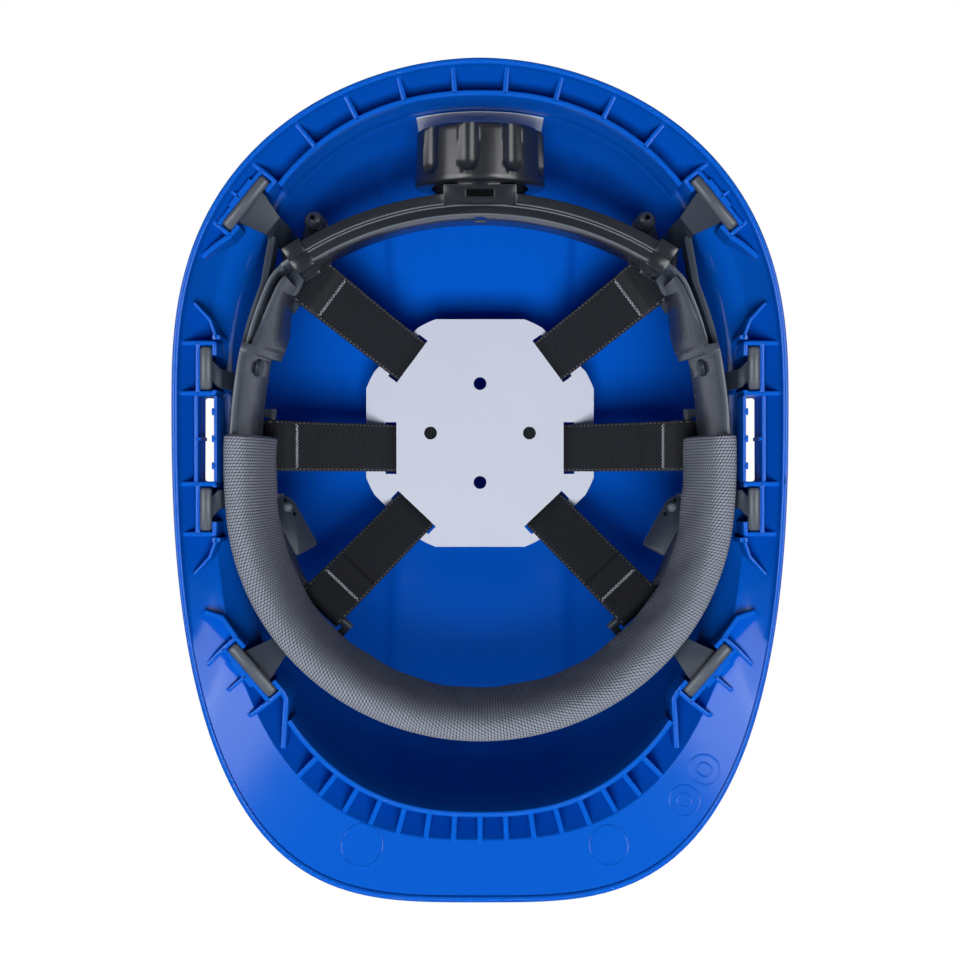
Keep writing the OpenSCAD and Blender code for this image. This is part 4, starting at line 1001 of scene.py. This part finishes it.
def nape_beads():
    beads = loft_all([bead_rings(*bead) for bead in BEADS])
    new_piece("nape_beads", *beads, bead_highlight_grey, "nape", None, "nape_grey")


# Round pegs on the finger eyes, tilted tabs at the temples and the rod-like faces of the lugs; temple pegs and
# lug rods in a lighter copy of the cradle grey as painted highlight, and near-black domes as painted shade
# where a peg or tab has a hole
def ball_rings(centre, across, high):
    middle = np.array(centre[:2])
    return [[(*(middle + polar(across * sind(w), v)), centre[2] - high * cosd(w)) for v in range(0, 360, 15)]
            for w in range(15, 166, 15)]


def both_sides(name, runs, *place):
    """One piece of lofted runs, each with its mirror image."""
    sides = [[[(side * p[0], *p[1:]) for p in ring] for ring in rings] for rings in runs for side in (1, -1)]
    new_piece(name, *loft_all(sides), *place)


def finger_pegs():
    x, y = band_xy(NAPE_LEN - 16, -12.6)
    peg = ball_rings((x, y, 38.4), 3.7, 2.9)
    # Small near-black dome on the peg: painted shade standing in for its hole
    hole = ball_rings((x + 0.4, y + 0.9, 35.75), 1.0, 0.4)
    both_sides("finger_pegs", [peg], arm_grey, "nape", None, "nape_grey")
    both_sides("finger_peg_hole_shades", [hole], painted_shade, "nape", None, "knob_black")


def temple_tabs():
    """A rounded plate on each temple, leaning in over the sweatband, with a peg and two near-black domes, each
    painted shade standing in for a hole.
    """
    lean, half_long, half_wide, thick, soft, draw = 38, 11.2, 5.4, 1.5, 0.3, -0.4
    middle, along = np.array((70.4, -16.8, 45.5)), np.array((-0.485, -0.874, 0.0))
    across = np.array((along[1] * cosd(lean), -along[0] * cosd(lean), sind(lean)))
    normal = np.cross(along, across)
    outline = round_box(half_long, half_wide, (1.6, 4.6, 4.6, 1.6), 15)

    def face(level, grow):
        long, wide = 1 + grow / half_long, 1 + grow / half_wide
        return [middle + along * u * long + across * v * wide + normal * level for u, v in outline]

    def knuckle(u, v, r, high):
        spot = middle + along * u + across * v + normal * thick
        return [[spot + (along * cosd(t) + across * sind(t)) * r * sind(w) + normal * high * cosd(w)
                 for t in range(0, 360, 20)] for w in range(15, 91, 15)]

    plate = [face(0, draw), face(soft, 0), face(thick - soft, 0), face(thick, draw)]
    # The two hole spots are near-black domes on the plate: painted shade
    holes = [knuckle(-9.2, 2.0, 0.8, 0.25), knuckle(-3.0, 2.6, 0.8, 0.25)]
    both_sides("temple_tabs", [plate], cradle_grey, "helmet", None, "cradle_grey")
    # Temple pegs in the lighter lug grey: painted highlight
    both_sides("temple_pegs", [knuckle(-6.4, 1.6, 1.9, 1.7)], lug_highlight_grey, "helmet", None, "cradle_grey")
    both_sides("temple_peg_hole_shades", holes, painted_shade, "helmet", None, "knob_black")


def lug_rod(lug, half):
    """A half-round rod along a lug, with rounded ends."""
    ends = ((half, 0.55), (half - 0.4, 0.85), (half - 1.0, 1.0))
    sections = [(-along, k) for along, k in ends] + [*reversed(ends)]
    return [[(*from_lug(lug, ROD_HALF * k * cosd(w), along), LUG_LOW + 0.25 - ROD_HIGH * k * sind(w))
             for w in range(0, 181, 15)] for along, k in sections]


def lug_rods():
    sides = [(np.array((SIDE_LUG_X, SLOT_Y + end * SIDE_LUG_OFF)), 0) for end in (-1, 1)]
    runs = [lug_rod(lug, LUG_L / 2) for lug in (REAR_LUG, FRONT_LUG)]
    runs += [lug_rod(lug, SIDE_LUG_L / 2) for lug in sides]
    # Lug rods in the lighter lug grey: painted highlight
    both_sides("lug_rods", runs, lug_highlight_grey, "helmet", None, "cradle_grey")


# All pieces: forms of the scene, mouldings with soft edges, and hidden solids shown as they are
shell_skin()
shell_walls()
peak_marks()
sticker()
sweatband()
for level, (name, ends) in enumerate(STRAPS):
    strap(name, ends, level)
strap_stitches()
knob_piece()
housing_plate()
nape_beads()
finger_pegs()
temple_tabs()
lug_rods()

rounded_copy("crown_pad", pad_sheet, "helmet", 0.3, "pad", radius=PAD_REACH)
for corner in ("rear_left", "rear_right", "front_left", "front_right", "side_left", "side_right"):
    rounded_copy("hanger_" + corner, cradle_grey, "helmet", 0.45, "cradle_grey")
rounded_copy("headband", cradle_grey, "helmet", 0.4, "cradle_grey")
for side, x in (("left", 1), ("right", -1)):
    bend = ("helmet", "nape", (x * 0.0785, 0.046, 0.024), (x * 0.064, 0.084, 0.024))
    rounded_copy("band_arm_" + side, arm_grey, None, 0.3, "cradle_grey", blend=bend)
for name in ("rear_rivets", "front_rivets"):
    rounded_copy(name, cradle_grey, "helmet", 0.3, "cradle_grey")
rounded_copy("nape_channel", nape_grey, "nape", 0.35, "nape_grey")
rounded_copy("nape_cover", nape_grey, "nape", 0.3, "nape_grey")
for name, material in (("drive_pinion", knob_black), ("click_spring", bare_steel), ("knob_screw", bare_steel)):
    paint = nodes[name].data.materials
    paint.clear()
    paint.append(material)


# Stage: white world with a low fill, a pale floor that only shows from above, soft lamps and the camera
WORLD_FILL, FLOOR_HALF, FLOOR_NEAR, FLOOR_FAR = 0.085, 4.0, 0.25, 0.95
AIM = Vector((0, 0.01, 0.05))
CAMERA_Z, SENSOR, FOCAL, PICTURE = -0.650, 36.0, 1864.0, 960.0


def light_world(scene):
    scene.world = bpy.data.worlds.new("studio")
    scene.world.use_nodes = True
    tree = scene.world.node_tree
    tree.nodes.clear()
    seen = add(tree, "ShaderNodeBackground", Color=(1, 1, 1, 1), Strength=1.0)
    fill = add(tree, "ShaderNodeBackground", Color=(0.93, 0.96, 1.0, 1), Strength=WORLD_FILL)
    camera_ray = add(tree, "ShaderNodeLightPath").outputs["Is Camera Ray"]
    add(tree, "ShaderNodeOutputWorld", Surface=mix_shader(tree, camera_ray, fill, seen))


def floor_pale():
    """Seen by the camera from above only, and fading out with the distance."""
    material = bpy.data.materials.new("floor_pale")
    material.use_nodes = True
    tree = material.node_tree
    shader = tree.nodes["Principled BSDF"]
    shader.inputs["Base Color"].default_value = (0.86, 0.87, 0.88, 1)
    shader.inputs["Roughness"].default_value = 0.8
    side = add(tree, "ShaderNodeNewGeometry").outputs
    camera_ray = add(tree, "ShaderNodeLightPath").outputs["Is Camera Ray"]
    shown = maths(tree, "MULTIPLY", maths(tree, "SUBTRACT", 1.0, side["Backfacing"]), camera_ray)
    far = add(tree, "ShaderNodeVectorMath", operation="LENGTH", Vector=side["Position"])
    fade = add(tree, "ShaderNodeMapRange", interpolation_type="SMOOTHSTEP", Value=far.outputs["Value"],
               From_Min=FLOOR_NEAR, From_Max=FLOOR_FAR, To_Min=1.0, To_Max=0.0)
    share = maths(tree, "MULTIPLY", shown, fade.outputs["Result"])
    clear = add(tree, "ShaderNodeBsdfTransparent")
    feed(tree, mix_shader(tree, share, clear, shader), tree.nodes["Material Output"].inputs["Surface"])
    return material


def lamp(name, place, size, power, mirrored=True, lights=True):
    """A square lamp towards the helmet, for reflections, for plain light or for both."""
    data = bpy.data.lights.new(name, "AREA")
    data.shape = "SQUARE"
    data.size = size
    data.energy = power
    obj = new_object(name, data)
    obj.location = place
    obj.rotation_euler = (AIM - Vector(place)).to_track_quat("-Z", "Y").to_euler()
    obj.visible_glossy = mirrored
    obj.visible_diffuse = lights


def stage():
    scene = bpy.context.scene
    scene.view_settings.view_transform = "Standard"
    light_world(scene)
    mesh = bpy.data.meshes.new("floor")
    corners = rectangle((-FLOOR_HALF, -FLOOR_HALF), (FLOOR_HALF, FLOOR_HALF), 0)
    mesh.from_pydata(corners, [], [(0, 1, 2, 3)])
    mesh.materials.append(floor_pale())
    new_object("floor", mesh)
    lamp("front_box", (0.0, -0.40, -1.20), 0.5, 22, mirrored=False)
    for side, x in (("left", 1), ("right", -1)):
        lamp(side + "_box", (x * 0.85, 0.06, -0.80), 0.7, 5, lights=False)
        lamp(side + "_glow", (x * 0.58, 0.10, -1.15), 0.34, 1.7, lights=False)
    lamp("top_box", (-0.7, -0.9, 1.25), 0.9, 18)
    lamp("top_fill", (0.9, 0.7, 1.1), 0.9, 10)
    data = bpy.data.cameras.new("camera")
    data.sensor_width = SENSOR
    data.lens = FOCAL / PICTURE * SENSOR
    data.clip_start = 0.02
    camera = new_object("camera", data)
    camera.location = (0, 0, CAMERA_Z)
    camera.rotation_euler = (0, pi, 0)
    scene.camera = camera


stage()
